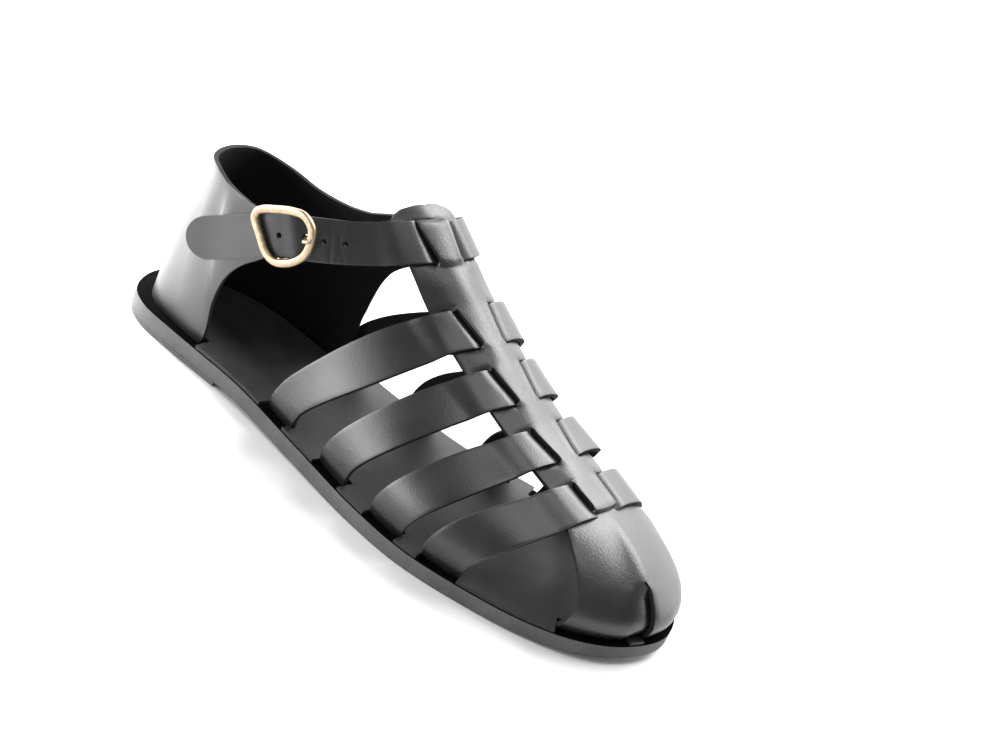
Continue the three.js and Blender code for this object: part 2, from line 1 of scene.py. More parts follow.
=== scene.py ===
# %% [markdown]
# A black leather fisherman sandal for the right foot: a flat sole, a spine over the foot, four straps
# woven through it, and a heel counter that runs on into a buckled ankle strap. Everything is cut from one
# hide of about two millimetres, so nearly every piece here is a flat sheet that is laid on the foot and
# then given its thickness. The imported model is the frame: its sizes are kept, and only its surfaces get
# finer.

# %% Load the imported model
import math

import bpy
import numpy as np
from mathutils import Matrix, Vector


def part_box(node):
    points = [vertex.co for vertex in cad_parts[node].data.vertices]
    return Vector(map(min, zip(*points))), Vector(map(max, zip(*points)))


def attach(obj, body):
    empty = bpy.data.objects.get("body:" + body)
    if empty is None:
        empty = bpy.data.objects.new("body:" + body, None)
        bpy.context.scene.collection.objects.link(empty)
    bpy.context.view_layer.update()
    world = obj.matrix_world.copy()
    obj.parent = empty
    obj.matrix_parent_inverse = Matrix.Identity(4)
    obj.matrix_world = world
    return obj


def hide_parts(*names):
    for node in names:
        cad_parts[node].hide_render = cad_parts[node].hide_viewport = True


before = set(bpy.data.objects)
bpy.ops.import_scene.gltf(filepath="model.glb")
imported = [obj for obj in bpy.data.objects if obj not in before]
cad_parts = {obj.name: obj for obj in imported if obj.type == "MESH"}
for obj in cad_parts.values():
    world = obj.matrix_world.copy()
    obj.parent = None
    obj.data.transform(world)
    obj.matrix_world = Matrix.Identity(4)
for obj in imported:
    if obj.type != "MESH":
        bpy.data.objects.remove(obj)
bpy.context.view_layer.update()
print("nodes", sorted(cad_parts))

# %% [markdown]
# The camera comes first, because every later look is judged through it. It stands in front of the toe on
# the outer side, a little above the shoe, with a long lens, and it is rolled so that the sole runs down
# the picture. Its three axes are given as the directions of the picture's right, down and forward.

# %% Camera
CAMERA_AT = (0.344935, -0.778655, 0.492141)
CAMERA_RIGHT = (0.767873, 0.516381, 0.379106)
CAMERA_DOWN = (0.544901, -0.215338, -0.810378)
CAMERA_FORWARD = (-0.336828, 0.828843, -0.446729)
FOCAL_SHARE = 2.337856
SENSOR = 36.0


def place_camera():
    lens = bpy.data.cameras.new("photo_camera")
    lens.sensor_fit = "HORIZONTAL"
    lens.sensor_width = SENSOR
    lens.lens = FOCAL_SHARE * SENSOR
    lens.clip_end = 50
    camera = bpy.data.objects.new("photo_camera", lens)
    bpy.context.scene.collection.objects.link(camera)
    right, down, forward = (Vector(v).normalized() for v in (CAMERA_RIGHT, CAMERA_DOWN, CAMERA_FORWARD))
    turn = Matrix((right, -down, -forward)).transposed()
    camera.matrix_world = Matrix.Translation(CAMERA_AT) @ turn.to_4x4()
    bpy.context.scene.camera = camera
    return camera


print("lens", round(place_camera().data.lens, 1), "mm")

# %% [markdown]
# The sole's outline decides where every strap comes down, so it is drawn before anything else: a smooth
# closed curve through a short table of half widths. A Catmull-Rom curve passes through every point it is
# given, which suits a table that was measured. Lengths are in millimetres here, from the back of
# the heel.

# %% Sole outline
LENGTH = 280.0
TOE_TIP = 0.009
SOLE = (  # at, lateral, medial, in shares of the length
    (0.02, 0.067, 0.057), (0.06, 0.098, 0.101), (0.14, 0.111, 0.132), (0.28, 0.123, 0.131),
    (0.42, 0.154, 0.122), (0.56, 0.186, 0.127), (0.66, 0.196, 0.153), (0.76, 0.182, 0.167),
    (0.86, 0.154, 0.158), (0.93, 0.117, 0.127), (0.975, 0.068, 0.09),
)
EDGE_STEPS = 6000
CENTRIPETAL = 0.25  # the power of a squared distance that keeps the curve free of loops
SHORTEST_STEP = 1e-4


def catmull_rom(points, places, closed):
    points = np.asarray(points, float)
    count = len(points)
    along = np.asarray(places, float) * (count if closed else count - 1)
    first = np.floor(along).astype(int)
    if not closed:
        first = np.clip(first, 0, count - 2)
    t = (along - first)[:, None]
    if closed:
        before, start, end, after = (points[(first + k) % count] for k in (-1, 0, 1, 2))
    else:
        padded = np.vstack([2 * points[:1] - points[1:2], points, 2 * points[-1:] - points[-2:-1]])
        before, start, end, after = (padded[first + k] for k in (0, 1, 2, 3))
    back, step, onward = (
        np.maximum(np.sum((b - a) ** 2, 1, keepdims=True) ** CENTRIPETAL, SHORTEST_STEP)
        for a, b in ((before, start), (start, end), (end, after)))
    leave = (start - before) / back - (end - before) / (back + step) + (end - start) / step
    reach = (end - start) / step - (after - start) / (step + onward) + (after - end) / onward
    leave, reach = leave * step, reach * step
    cubic = 2 * start - 2 * end + leave + reach
    square = -3 * start + 3 * end - 2 * leave - reach
    return start + t * (leave + t * (square + t * cubic))


def unit(vectors):
    return vectors / np.linalg.norm(vectors, axis=1, keepdims=True)


rows = np.array(SOLE) * LENGTH
outline = np.vstack([
    [[0, 0]],
    np.c_[rows[:, 0], -rows[:, 1]],
    [[LENGTH, TOE_TIP * LENGTH]],
    np.c_[rows[::-1, 0], rows[::-1, 2]],
])
EDGE_PLACES = np.linspace(0, 1, EDGE_STEPS + 1)
EDGE_POINTS = catmull_rom(outline, EDGE_PLACES, True)
EDGE_ALONG = np.gradient(EDGE_POINTS, axis=0)
EDGE_ALONG[0] = EDGE_ALONG[-1] = EDGE_POINTS[1] - EDGE_POINTS[-2]
EDGE_ALONG = unit(EDGE_ALONG)


def mix(a, b, share):
    return a + (b - a) * share


def ease(value, start, end):
    share = np.clip((value - start) / (end - start), 0, 1)
    return share * share * (3 - 2 * share)


def edge(place, inset):
    x, y, along_x, along_y = (np.interp(place, EDGE_PLACES, column) for column in
                              (*EDGE_POINTS.T, *EDGE_ALONG.T))
    return np.stack([x - along_y * inset, y + along_x * inset], -1)


def edge_place(x, side):
    half = EDGE_STEPS // 2
    if side == "lateral":
        return np.interp(x, EDGE_POINTS[:half + 1, 0], EDGE_PLACES[:half + 1])
    return np.interp(x, EDGE_POINTS[half:, 0][::-1], EDGE_PLACES[half:][::-1])


# The outline's own lowest corner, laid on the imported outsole's, says where the heel's back is in the frame
MILLIMETRES = 1000
BACK_TRIM = 0.25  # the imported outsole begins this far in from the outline's back
outsole_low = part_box("outsole")[0]
SHIFT_X = outsole_low.x * MILLIMETRES - BACK_TRIM
SHIFT_Y = outsole_low.y * MILLIMETRES - EDGE_POINTS[:, 1].min()


def in_frame(points):
    return (np.asarray(points, float) + (SHIFT_X, SHIFT_Y, 0)) / MILLIMETRES


def from_frame(points):
    return np.asarray(points, float) * MILLIMETRES - (SHIFT_X, SHIFT_Y, 0)


print("heel's back at", round(SHIFT_X, 2), "and middle line at", round(SHIFT_Y, 2), "mm")

# %% [markdown]
# Every piece starts as a grid primitive, a flat sheet of squares. The helper below adds one and hands
# each of its points, as two shares from 0 to 1, to a function that says where it lies. The same could be
# pulled into place by hand with proportional editing, but a function keeps neighbours in step. The other
# helpers add a modifier and apply it at once, so a finished piece is plain mesh.

# %% Laying sheets
def only(obj):
    bpy.ops.object.select_all(action="DESELECT")
    obj.select_set(True)
    bpy.context.view_layer.objects.active = obj
    return obj


def coordinates(obj):
    flat = np.zeros(len(obj.data.vertices) * 3)
    obj.data.vertices.foreach_get("co", flat)
    return flat.reshape(-1, 3)


def put(obj, points):
    obj.data.vertices.foreach_set("co", np.ascontiguousarray(points, float).ravel())
    obj.data.update()


def sheet(name, along, across, lay):
    """A grid of along by across faces; lay(u, v) gives the places of its points in millimetres."""
    bpy.ops.object.select_all(action="DESELECT")
    bpy.ops.mesh.primitive_grid_add(x_subdivisions=along, y_subdivisions=across, size=2)
    obj = bpy.context.object
    obj.name = obj.data.name = name
    shares = (coordinates(obj)[:, :2] + 1) / 2
    put(obj, in_frame(lay(shares[:, 0], shares[:, 1])))
    return obj


def finish_with(obj, kind, **settings):
    only(obj)
    modifier = obj.modifiers.new(kind.title(), kind)
    for name, value in settings.items():
        setattr(modifier, name, value)
    bpy.ops.object.modifier_apply(modifier=modifier.name)
    return obj


def in_edit_mode(obj, *steps):
    only(obj)
    bpy.ops.object.mode_set(mode="EDIT")
    bpy.ops.mesh.select_mode(type="VERT")
    bpy.ops.mesh.select_all(action="SELECT")
    for step in steps:
        step()
    bpy.ops.object.mode_set(mode="OBJECT")
    return obj


def merge(distance=2e-5):
    return lambda: bpy.ops.mesh.remove_doubles(threshold=distance)


def outward():
    return bpy.ops.mesh.normals_make_consistent(inside=False)


def round_edges(obj, width, segments=2, angle=50, material=-1):
    return finish_with(obj, "BEVEL", width=width / MILLIMETRES, segments=segments, limit_method="ANGLE",
                       angle_limit=math.radians(angle), use_clamp_overlap=True, material=material)


def smooth(obj, angle=35):
    only(obj)
    bpy.ops.object.shade_smooth_by_angle(angle=math.radians(angle))
    return obj


def joined(name, pieces):
    only(pieces[0])
    for piece in pieces:
        piece.select_set(True)
    bpy.ops.object.join()
    pieces[0].name = pieces[0].data.name = name
    return pieces[0]


def seat(obj, node):
    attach(obj, "root")
    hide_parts(node)
    print(obj.name, len(obj.data.polygons), "faces")
    return obj


# %% [markdown]
# The outsole is a slab of grey rubber, seven millimetres thick, that lifts a little at the toe. It is a
# sheet laid to the outline at the height of its top, thickened with Solidify, and then the copies of its
# points go down to the underside's own curve. The two ends of the sheet close to a point, and these are
# merged. A small bevel gives the cut edge the soft line that catches light.

# %% Outsole
PROFILE = (  # at, bottom, top, over the floor in millimetres
    (0.0, 2.3, 9.3), (0.24, 2.3, 9.1), (0.4, 0.9, 7.9), (0.55, 0.0, 6.9),
    (0.74, 0.0, 6.6), (0.88, 1.3, 7.3), (1.0, 4.6, 10.1),
)
OUTSOLE_GRID = (190, 12)
OUTSOLE_BEVEL = 0.55
FIRST_WALL = 0.003  # any wall will do, because its lower points are moved at once
CLOSED_END = 1e-5  # points of a sheet's closed end lie nearer than this


def column(table, value):
    """A smooth function through two columns of a table, flat beyond its ends."""
    at = np.array([row[0] for row in table], float)
    values = np.array([row[value] for row in table], float)
    behind = np.maximum(np.arange(len(at)) - 1, 0)
    ahead = np.minimum(np.arange(len(at)) + 1, len(at) - 1)
    slopes = (values[ahead] - values[behind]) / (at[ahead] - at[behind])

    def smooth_value(place):
        x = np.clip(place, at[0], at[-1])
        i = np.clip(np.searchsorted(at, x) - 1, 0, len(at) - 2)
        span = at[i + 1] - at[i]
        t = (x - at[i]) / span
        return ((2 * t**3 - 3 * t**2 + 1) * values[i] + (t**3 - 2 * t**2 + t) * span * slopes[i]
                + (3 * t**2 - 2 * t**3) * values[i + 1] + (t**3 - t**2) * span * slopes[i + 1])

    return smooth_value


sole_top = column(PROFILE, 2)
sole_under = column(PROFILE, 1)


def rim(x):
    return sole_top(x / LENGTH)


def underside(x):
    return np.maximum(sole_under(x / LENGTH), 0)


def across_sole(u, v, inset):
    left, right = edge(u * 0.5, inset), edge(1 - u * 0.5, inset)
    return mix(left, right, v[:, None])


def slab(obj, floor_height):
    """Thickens a sheet downwards to a height that depends on the place along the sole."""
    count = len(obj.data.vertices)
    finish_with(obj, "SOLIDIFY", thickness=FIRST_WALL, offset=-1)
    points = coordinates(obj)
    points[count:, :2] = points[:count, :2]
    points[count:, 2] = floor_height(from_frame(points)[count:, 0]) / MILLIMETRES
    put(obj, points)
    return in_edit_mode(obj, outward)


def outsole_top(u, v):
    plan = across_sole(u, v, 0.0)
    return np.c_[plan, rim(plan[:, 0])]


outsole = in_edit_mode(sheet("rubber_outsole", *OUTSOLE_GRID, outsole_top), merge(CLOSED_END))
slab(outsole, underside)
round_edges(outsole, OUTSOLE_BEVEL, 3)
seat(smooth(outsole), "outsole")

# %% [markdown]
# Under the heel lies a thin lift of the same rubber with a straight front. It is made as the outsole is,
# only shorter, and set in by a fraction of a millimetre so that the joint between the two shows as a fine
# line.

# %% Heel lift
HEEL_LIFT = 2.0
HEEL_BREAST = 66.0
LIFT_INSET = 0.3
LIFT_GRID = (60, 10)
LIFT_BEVEL = 0.3


def lift_top(u, v):
    x = np.maximum(HEEL_BREAST * (1 - np.cos(u * math.pi / 2)), 0.0)
    sides = [edge(edge_place(x, side), LIFT_INSET) for side in ("lateral", "medial")]
    return np.c_[mix(*sides, v[:, None]), np.full(len(u), HEEL_LIFT)]


lift = in_edit_mode(sheet("heel_lift_rubber", *LIFT_GRID, lift_top), merge(CLOSED_END))
slab(lift, lambda x: np.zeros(len(x)))
round_edges(lift, LIFT_BEVEL)
seat(smooth(lift), "heel_lift")

# %% [markdown]
# The insole is a thin leather sheet on top of the rubber. Wherever a strap, the toe cap or the counter
# goes down between the layers, it has a notch that is open to the edge. The notches are cut as a knife
# would cut them, one after the other: a small sheet is thickened into a cutter, and a Boolean takes it
# away. Neighbouring cutters overlap, and joined into one they would confuse the Boolean.

# %% Insole
GAP = 0.3
INSOLE = 1.5
INSOLE_INSET = 0.5
STRAP_SEAT = 8.2
COUNTER_SEAT = 7.8
STRAPS = (  # lateral, crossing, medial, foot, middle, width
    (99.5, 151.5, 86.0, 15.0, 20.5, 17.5), (137.0, 175.5, 130.0, 16.0, 18.5, 17.0),
    (170.5, 202.0, 167.0, 17.0, 18.5, 16.5), (200.5, 228.0, 199.0, 17.5, 18.5, 17.0),
)
CAP_LATERAL = 250.0
CAP_MEDIAL = 249.0
DART_AT = 0.471
TAB_HALF = 0.006
COUNTER_LATERAL = 51.0
COUNTER_MEDIAL = 91.0
NOTCH_PLAY = {"lateral": 0.6, "medial": 2.4}
CAP_PLAY = {"lateral": 1, "medial": -2}
STRAP_ROOM = 0.9
BROAD_ROOM = 1.5
CUTTER_OUT = -4.0
CUTTER_TOP = 30.0
CUTTER_FLOOR = -3.0
CUTTER_STEPS = 160
INSOLE_GRID = (170, 14)


def insole_top(u, v):
    plan = across_sole(u, v, INSOLE_INSET)
    return np.c_[plan, rim(plan[:, 0]) + GAP + INSOLE]


def notches():
    for lateral, _, medial, foot, _, _ in STRAPS:
        for x, side in ((lateral, "lateral"), (medial, "medial")):
            reach = foot / 2 + NOTCH_PLAY[side]
            yield edge_place(x - reach, side), edge_place(x + reach, side), STRAP_SEAT + STRAP_ROOM
    cap_lateral = edge_place(CAP_LATERAL + CAP_PLAY["lateral"], "lateral")
    cap_medial = edge_place(CAP_MEDIAL + CAP_PLAY["medial"], "medial")
    yield cap_lateral, DART_AT - TAB_HALF, STRAP_SEAT + BROAD_ROOM
    yield DART_AT + TAB_HALF, cap_medial, STRAP_SEAT + BROAD_ROOM
    yield 0.0, edge_place(COUNTER_LATERAL, "lateral"), COUNTER_SEAT + BROAD_ROOM
    yield edge_place(COUNTER_MEDIAL, "medial"), 1.0, COUNTER_SEAT + BROAD_ROOM


def notch_cutter(start, end, depth):
    def lay(u, v):
        plan = edge(mix(start, end, u), mix(CUTTER_OUT, depth, v))
        return np.c_[plan, np.full(len(u), CUTTER_TOP)]

    steps = max(6, round(abs(end - start) * CUTTER_STEPS))
    return slab(sheet("notch_cutter", steps, 2, lay), lambda x: np.full(len(x), CUTTER_FLOOR))


def carve(obj, cutter):
    finish_with(obj, "BOOLEAN", operation="DIFFERENCE", solver="EXACT", object=cutter)
    bpy.data.objects.remove(cutter)
    return obj


insole = in_edit_mode(sheet("leather_insole", *INSOLE_GRID, insole_top), merge(CLOSED_END))
slab(insole, lambda x: rim(x) + GAP)
for notch in notches():
    carve(insole, notch_cutter(*notch))
in_edit_mode(insole, merge())
seat(smooth(insole, 30), "insole")

# %% [markdown]
# The straps follow a foot that isn't there, so the foot's surface is written down first: a ridge over the
# instep, and from each place on it a curve that falls to the sole's edge. The outer side is steep, the
# inner side fuller and squarer over the instep, and both bulge a little just above the sole before they
# tuck in. One function gives any point of it, for a whole array of places at once.

# %% Foot surface
RIDGE = (  # x, y, z
    (100, 6.0, 108.5), (119, 5.5, 96.6), (140, 5.0, 82.5), (168, 4.0, 67.0),
    (196, 3.2, 54.0), (224, 2.4, 44.5), (240, 2.0, 39.5),
)
SHAPES = {  # top, side, sweep, forward, height of the widest place
    "lateral": (2.0, 2.0, 1.3, 0.0, 10.5),
    "medial": (2.6, 2.2, 2.6, 7.0, 6.0),
    "toe": (1.45, 1.6, 0.0, 0.0, 9.0),
}
INSTEP_SQUARE = (5.0, 4.0)  # the inner side's powers over the instep
INSTEP_FADE = (200, 250)
AHEAD_PEAK = 27 / 4  # brings the peak of share**2 * (1 - share) to one
SHOULDER = 0.8
STRAP_BULGE = 5.0
SEAT_SINK = 0.5
ridge_y = column(RIDGE, 1)
ridge_z = column(RIDGE, 2)
meets = {
    "lateral": column([(row[1], row[0]) for row in STRAPS], 1),
    "medial": column([(row[1], row[2]) for row in STRAPS], 1),
}


def ridge(x):
    x = np.asarray(x, float)
    return np.stack([x, ridge_y(x), ridge_z(x)], -1)


def side_foot(x, side):
    inside = np.clip(x, STRAPS[0][1], STRAPS[-1][1])
    return edge_place(meets[side](inside) + x - inside, side)


def side_point(top, place, q, shape):
    """From a top point (q = 0) over the foot's side to a place on the sole's edge (q = 1)."""
    power_out, power_up, sweep, forward, bulge_height = SHAPES[shape]
    if shape == "medial":
        square = 1 - ease(top[..., 0], *INSTEP_FADE)
        power_out = mix(power_out, INSTEP_SQUARE[0], square)
        power_up = mix(power_up, INSTEP_SQUARE[1], square)
    share = np.minimum(q / SHOULDER, 1)
    angle = share * math.pi / 2
    out = np.sin(angle) ** (2 / power_out)
    up = np.maximum(np.cos(angle), 0) ** (2 / power_up)
    swept = share**sweep if sweep else out
    ahead = forward * share**2 * (1 - share) * AHEAD_PEAK
    tuck = np.maximum(q - SHOULDER, 0) / (1 - SHOULDER)
    widest = edge(place, STRAP_SEAT - STRAP_BULGE)
    foot = edge(place, STRAP_SEAT)
    base = rim(foot[..., 0]) - SEAT_SINK
    shoulder = base + bulge_height
    low = mix(widest, foot, (1 - np.cos(tuck * math.pi / 2))[..., None])
    x = np.where(tuck > 0, low[..., 0], mix(top[..., 0], widest[..., 0], swept) + ahead)
    y = np.where(tuck > 0, low[..., 1], mix(top[..., 1], widest[..., 1], out))
    z = np.where(tuck > 0, mix(shoulder, base, tuck), mix(shoulder, top[..., 2], up))
    return np.stack([x, y, z], -1)


def foot_point(x, side, q):
    return side_point(ridge(x), side_foot(x, side), q, side)


def normals(grid):
    """Unit normals of a grid of points, its rows along and its columns across."""
    out = np.cross(np.gradient(grid, axis=0), np.gradient(grid, axis=1))
    return out / np.maximum(np.linalg.norm(out, axis=-1, keepdims=True), 1e-9)


print("instep", ridge(140.0).round(1), "mm")

# %% [markdown]
# The heel counter and the ankle strap are one strip of leather. It starts at the buckle on the outer
# side, widens into the counter round the heel, narrows on the inner side, crosses the instep under the
# spine and comes back through the buckle. Two rows of points, its lower and its upper edge, say where it
# lies. It is worked out before the spine, because the spine's top has to lie under and over it.

# %% Counter and ankle strap: its path
LEATHER = 2.2
COLLAR = (  # lower edge, upper edge, bulge between them
    (70.5, -28.7, 72.0, 63.0, -28.3, 84.5, 0), (64.5, -29.3, 63.0, 52.5, -28.0, 80.5, 0.5),
    (56.5, -29.3, 54.5, 45.0, -27.5, 80.4, 1), (51.5, -28.6, 45.0, 40.5, -27.0, 80.6, 1.5),
    (49.3, -27.2, 32.0, 37.5, -26.5, 80.9, 2), (49.0, -24.7, 9.6, 34.5, -25.8, 81.2, 2.4),
    (33.0, -22.8, 9.6, 27.0, -23.0, 82.6, 2.4), (16.5, -17.6, 9.6, 18.3, -15.0, 82.0, 1.6),
    (7.9, 0.0, 9.6, 14.5, 0.0, 81.2, 0.8), (16.0, 18.6, 9.6, 17.6, 15.5, 79.4, 1.4),
    (33.0, 27.6, 9.6, 29.0, 23.8, 76.4, 1.6), (52.0, 29.4, 9.5, 46.0, 26.2, 74.2, 1.4),
    (72.0, 29.2, 9.3, 60.0, 26.8, 75.4, 1.2), (86.5, 28.6, 9.1, 69.0, 26.6, 77.8, 1.2),
    (87.5, 29.6, 36.0, 74.0, 26.2, 79.8, 0.6), (91.0, 30.4, 58.5, 81.0, 27.0, 83.4, 0.2),
    (106.0, 30.0, 74.0, 95.5, 28.0, 90.2, 0), (125.6, 23.6, 90.0, 111.8, 22.4, 100.4, 0),
    (126.0, 6.0, 91.6, 111.5, 6.0, 101.2, 0), (117.0, -8.5, 88.2, 102.5, -6.5, 99.6, 0),
    (102.5, -20.5, 81.8, 91.5, -18.8, 95.8, 0), (86.0, -28.6, 75.0, 76.5, -27.6, 90.6, 0),
    (73.6, -32.2, 70.3, 64.6, -31.8, 85.7, 0), (60.4, -32.6, 61.6, 51.2, -31.4, 76.9, 0),
    (45.2, -32.7, 51.0, 35.4, -31.7, 66.4, 0), (34.6, -33.8, 44.8, 25.2, -33.0, 60.2, 0),
)
LAST_ROW = len(COLLAR) - 1
COLLAR_CROSSING = 18 / LAST_ROW
TIP_ROUND = 0.035
TIP_BLUNT = 1e-4
TRAVEL_STEP = 0.004
collar_bulge = column([(i / LAST_ROW, row[6]) for i, row in enumerate(COLLAR)], 1)
LOWER = np.array(COLLAR, float)[:, :3]
UPPER = np.array(COLLAR, float)[:, 3:6]


def collar_middle(t):
    return (catmull_rom(LOWER, t, False) + catmull_rom(UPPER, t, False)) / 2


def collar_face(t, v):
    """Point of the strip's inner face and its outward direction, before it is woven."""
    low, high = catmull_rom(LOWER, t, False), catmull_rom(UPPER, t, False)
    tip = 1 - np.minimum((1 - t + TIP_BLUNT) / TIP_ROUND, 1)
    share = 0.5 + (v - 0.5) * np.sqrt(1 - tip**2)
    up = unit(high - low)
    travel = collar_middle(np.minimum(t + TRAVEL_STEP, 1)) - collar_middle(np.maximum(t - TRAVEL_STEP, 0))
    out = unit(np.cross(up, travel))
    swell = collar_bulge(t) * np.sin(math.pi * share)
    return mix(low, high, share[:, None]) + out * swell[:, None], out


print("ankle strap crosses at", collar_middle(np.array([COLLAR_CROSSING]))[0].round(1), "mm")

# %% [markdown]
# Where a strap meets the spine it lies over the spine's two wings and dives through a slit at each side
# of the middle, which stands up over it as a low bridge. The slits of a pair run together towards the
# toe. A strap's height depends on its distance from the slit: it starts to sink well before it, and
# presses the wing down with it. The bridge's height depends on its distance from the crossing, so the two
# never meet.

# %% Weaving heights
SPINE_HALF = 18.5
SPINE_REACH = {"lateral": SPINE_HALF, "medial": 14.5}
CAP_REACH = {"lateral": 23.0, "medial": 18.5}
SPINE_TOP = 104.0
CAP_START = 234.0
TONGUE = 9.0
ANKLE_CROSSING = 119.2
STRAP_WIDTH = 17.5
SLITS = {"lateral": (8.8, 6.0), "medial": (5.5, 3.2)}  # from the ridge, at the slit's upper and lower end
SLIT_WIDE = 1.4
OVER_WING = 2.35
UNDER_BRIDGE = 0.05
BRIDGE_RISE = 2.6
BRIDGE_LIP = 0.35
CROWN = 2.6
CROWN_REACH = (4, 20)
DIVE_START, DIVE_END = 5.5, 1.5  # from the slit, outwards and inwards
STRAP_LANDING = (0.8, 11)  # beyond the spine's edge
SLIT_PLAY = 0.7
SLIT_SHARE = 0.42  # a slit's end, in widths of the strap from its crossing
TONGUE_BLUNT = 0.15
CAP_WIDENS = 219
CROSSINGS = [(ANKLE_CROSSING, STRAP_WIDTH)] + [(row[1], row[5]) for row in STRAPS]


def half_width(x, side):
    tip = 1 - np.minimum((x - SPINE_TOP + TONGUE_BLUNT) / TONGUE, 1)
    spine_wide = SPINE_REACH[side] * np.sqrt(1 - tip**2)
    return mix(spine_wide, CAP_REACH[side], ease(x, CAP_WIDENS, CAP_START))


def slit(x, side):
    """Distance of a slit from the ridge; the slits of a pair run together towards the toe."""
    ends = [(c + sign * w * SLIT_SHARE, SLITS[side][sign > 0]) for c, w in CROSSINGS for sign in (-1, 1)]
    return np.interp(x, *zip(*ends)) * half_width(x, side) / SPINE_REACH[side]


def strap_height(distance, slit_at):
    d = np.abs(distance)
    dive = mix(UNDER_BRIDGE, OVER_WING, ease(d, slit_at - DIVE_END, slit_at + DIVE_START))
    return dive * (1 - ease(d, SPINE_HALF + STRAP_LANDING[0], SPINE_HALF + STRAP_LANDING[1]))


def bridge_height(share):
    return BRIDGE_RISE + BRIDGE_LIP * np.minimum(np.abs(share), 1) ** 2


def crown_height(aside):
    return CROWN * (1 - ease(np.abs(aside), *CROWN_REACH))


print("strap over the wing", OVER_WING, "mm, bridge", BRIDGE_RISE, "mm")

# %% [markdown]
# The spine and the toe cap are one piece. It begins as a rounded tongue above the ankle strap, runs down
# the ridge, and at the toe splits into two lobes with a dart between them. The sheet therefore has a
# double column in its middle: above the dart the two are merged, below it they stay apart. First comes
# the bare sheet, a row of points for each place along the ridge and then for each step over the toe.

# %% Spine and toe cap: the bare sheet
CAP_SWING = 0.012
DART_GAP = 0.0095
DART_TIP = 0.47
DART_OPENS = 0.06
DART_FIRST = 0.4
FLAT_TOP = {"lateral": 0.3, "medial": 0.15}
FLAT_FADE = (122, 146)
STRIP_COLUMNS = 5
WING_COLUMNS = 7
EASING = 0.8  # how much of a bend one round of smoothing takes out
TONGUE_ROWS = SPINE_TOP + TONGUE * (1 - np.cos(np.linspace(0, math.pi / 2, 16)))
SPINE_ROWS = np.concatenate([TONGUE_ROWS[:-1], np.linspace(SPINE_TOP + TONGUE, CAP_START, 112)])
CAP_ROWS = np.linspace(0, 1, 71)[1:]
SECTION_STEPS = np.linspace(0, 1, 61)
CAP_JOINT_REACH, CAP_JOINT_ROUNDS = 14, 60
PAST_STRAPS = 999.0  # stands for the place of rows on the cap, which no strap crosses


def length_along(path):
    return np.concatenate([[0], np.cumsum(np.linalg.norm(np.diff(path, axis=0), axis=1))])


def over_section(x, side, distances):
    """Points of the foot's top at distances from the ridge, measured over its section."""
    place = np.full(len(SECTION_STEPS), x)
    path = foot_point(place, side, SECTION_STEPS)
    flat = mix(FLAT_TOP[side], 1, ease(x, *FLAT_FADE))
    path[:, 2] = mix(path[0, 2], path[:, 2], flat)
    length = length_along(path)
    return np.stack([np.interp(distances, length, path[:, k]) for k in range(3)], -1)


def columns(x, side):
    """Distances of half a row's points from the ridge: the strip, the slit and the wing."""
    inner, outer = slit(x, side), half_width(x, side)
    gap = SLIT_WIDE * outer / SPINE_REACH[side]
    strip = np.linspace(0, inner, STRIP_COLUMNS)
    return np.concatenate([strip, np.linspace(inner + gap, outer, WING_COLUMNS + 1)])


def spine_half(side):
    return np.array([over_section(x, side, columns(x, side)) for x in SPINE_ROWS])


def lobe(side):
    sign = -1 if side == "lateral" else 1
    corner = edge_place(CAP_LATERAL if sign < 0 else CAP_MEDIAL, side)
    start = over_section(CAP_START, side, columns(CAP_START, side))
    share = 1 - columns(CAP_START, side) / CAP_REACH[side]
    made = []
    for q in CAP_ROWS:
        down_dart = np.clip((q - DART_TIP) / (1 - DART_TIP), 0, 1)
        opened = ease(q, DART_TIP, DART_TIP + DART_OPENS) * mix(DART_FIRST, 1, down_dart)
        middle = DART_AT + sign * DART_GAP * opened
        swing = sign * CAP_SWING * np.sin(math.pi * q) * (1 - share)
        made.append(side_point(start, mix(corner, middle, share) - swing, np.full(len(share), q), "toe"))
    return np.array(made)


def relaxed(grid, row, reach, times):
    """Smooths the rows round a joint along their columns."""
    near = np.clip(1 - np.abs(np.arange(len(grid)) - row) / reach, 0, 1)[1:-1, None, None]
    for _ in range(times):
        grid[1:-1] += near * ((grid[:-2] + grid[2:]) / 2 - grid[1:-1]) * EASING
    return grid


halves = {side: np.concatenate([spine_half(side), lobe(side)]) for side in ("lateral", "medial")}
spine_grid = np.concatenate([halves["lateral"][:, ::-1], halves["medial"]], axis=1)
spine_grid = relaxed(spine_grid, len(SPINE_ROWS), CAP_JOINT_REACH, CAP_JOINT_ROUNDS)
ROWS, COLUMNS = spine_grid.shape[:2]
MIDDLE = STRIP_COLUMNS + WING_COLUMNS + 1
half_columns = np.arange(MIDDLE)
spine_column = np.concatenate([half_columns[::-1], half_columns])
cap_q = np.concatenate([np.zeros(len(SPINE_ROWS)), CAP_ROWS])
on_spine = np.arange(ROWS) < len(SPINE_ROWS)
spine_x = np.concatenate([SPINE_ROWS, np.full(len(CAP_ROWS), PAST_STRAPS)])
split = cap_q > DART_TIP
shared = spine_grid[:, MIDDLE - 1:MIDDLE + 1].mean(1)
spine_grid[~split, MIDDLE - 1] = spine_grid[~split, MIDDLE] = shared[~split]
print("bare sheet of", ROWS, "rows and", COLUMNS, "columns")

# %% [markdown]
# Under the ankle strap the sheet is drawn on to the strap's own face: each point looks for the nearest
# place of the strap, also a little beyond the strap's edges, and gives up its height over it.

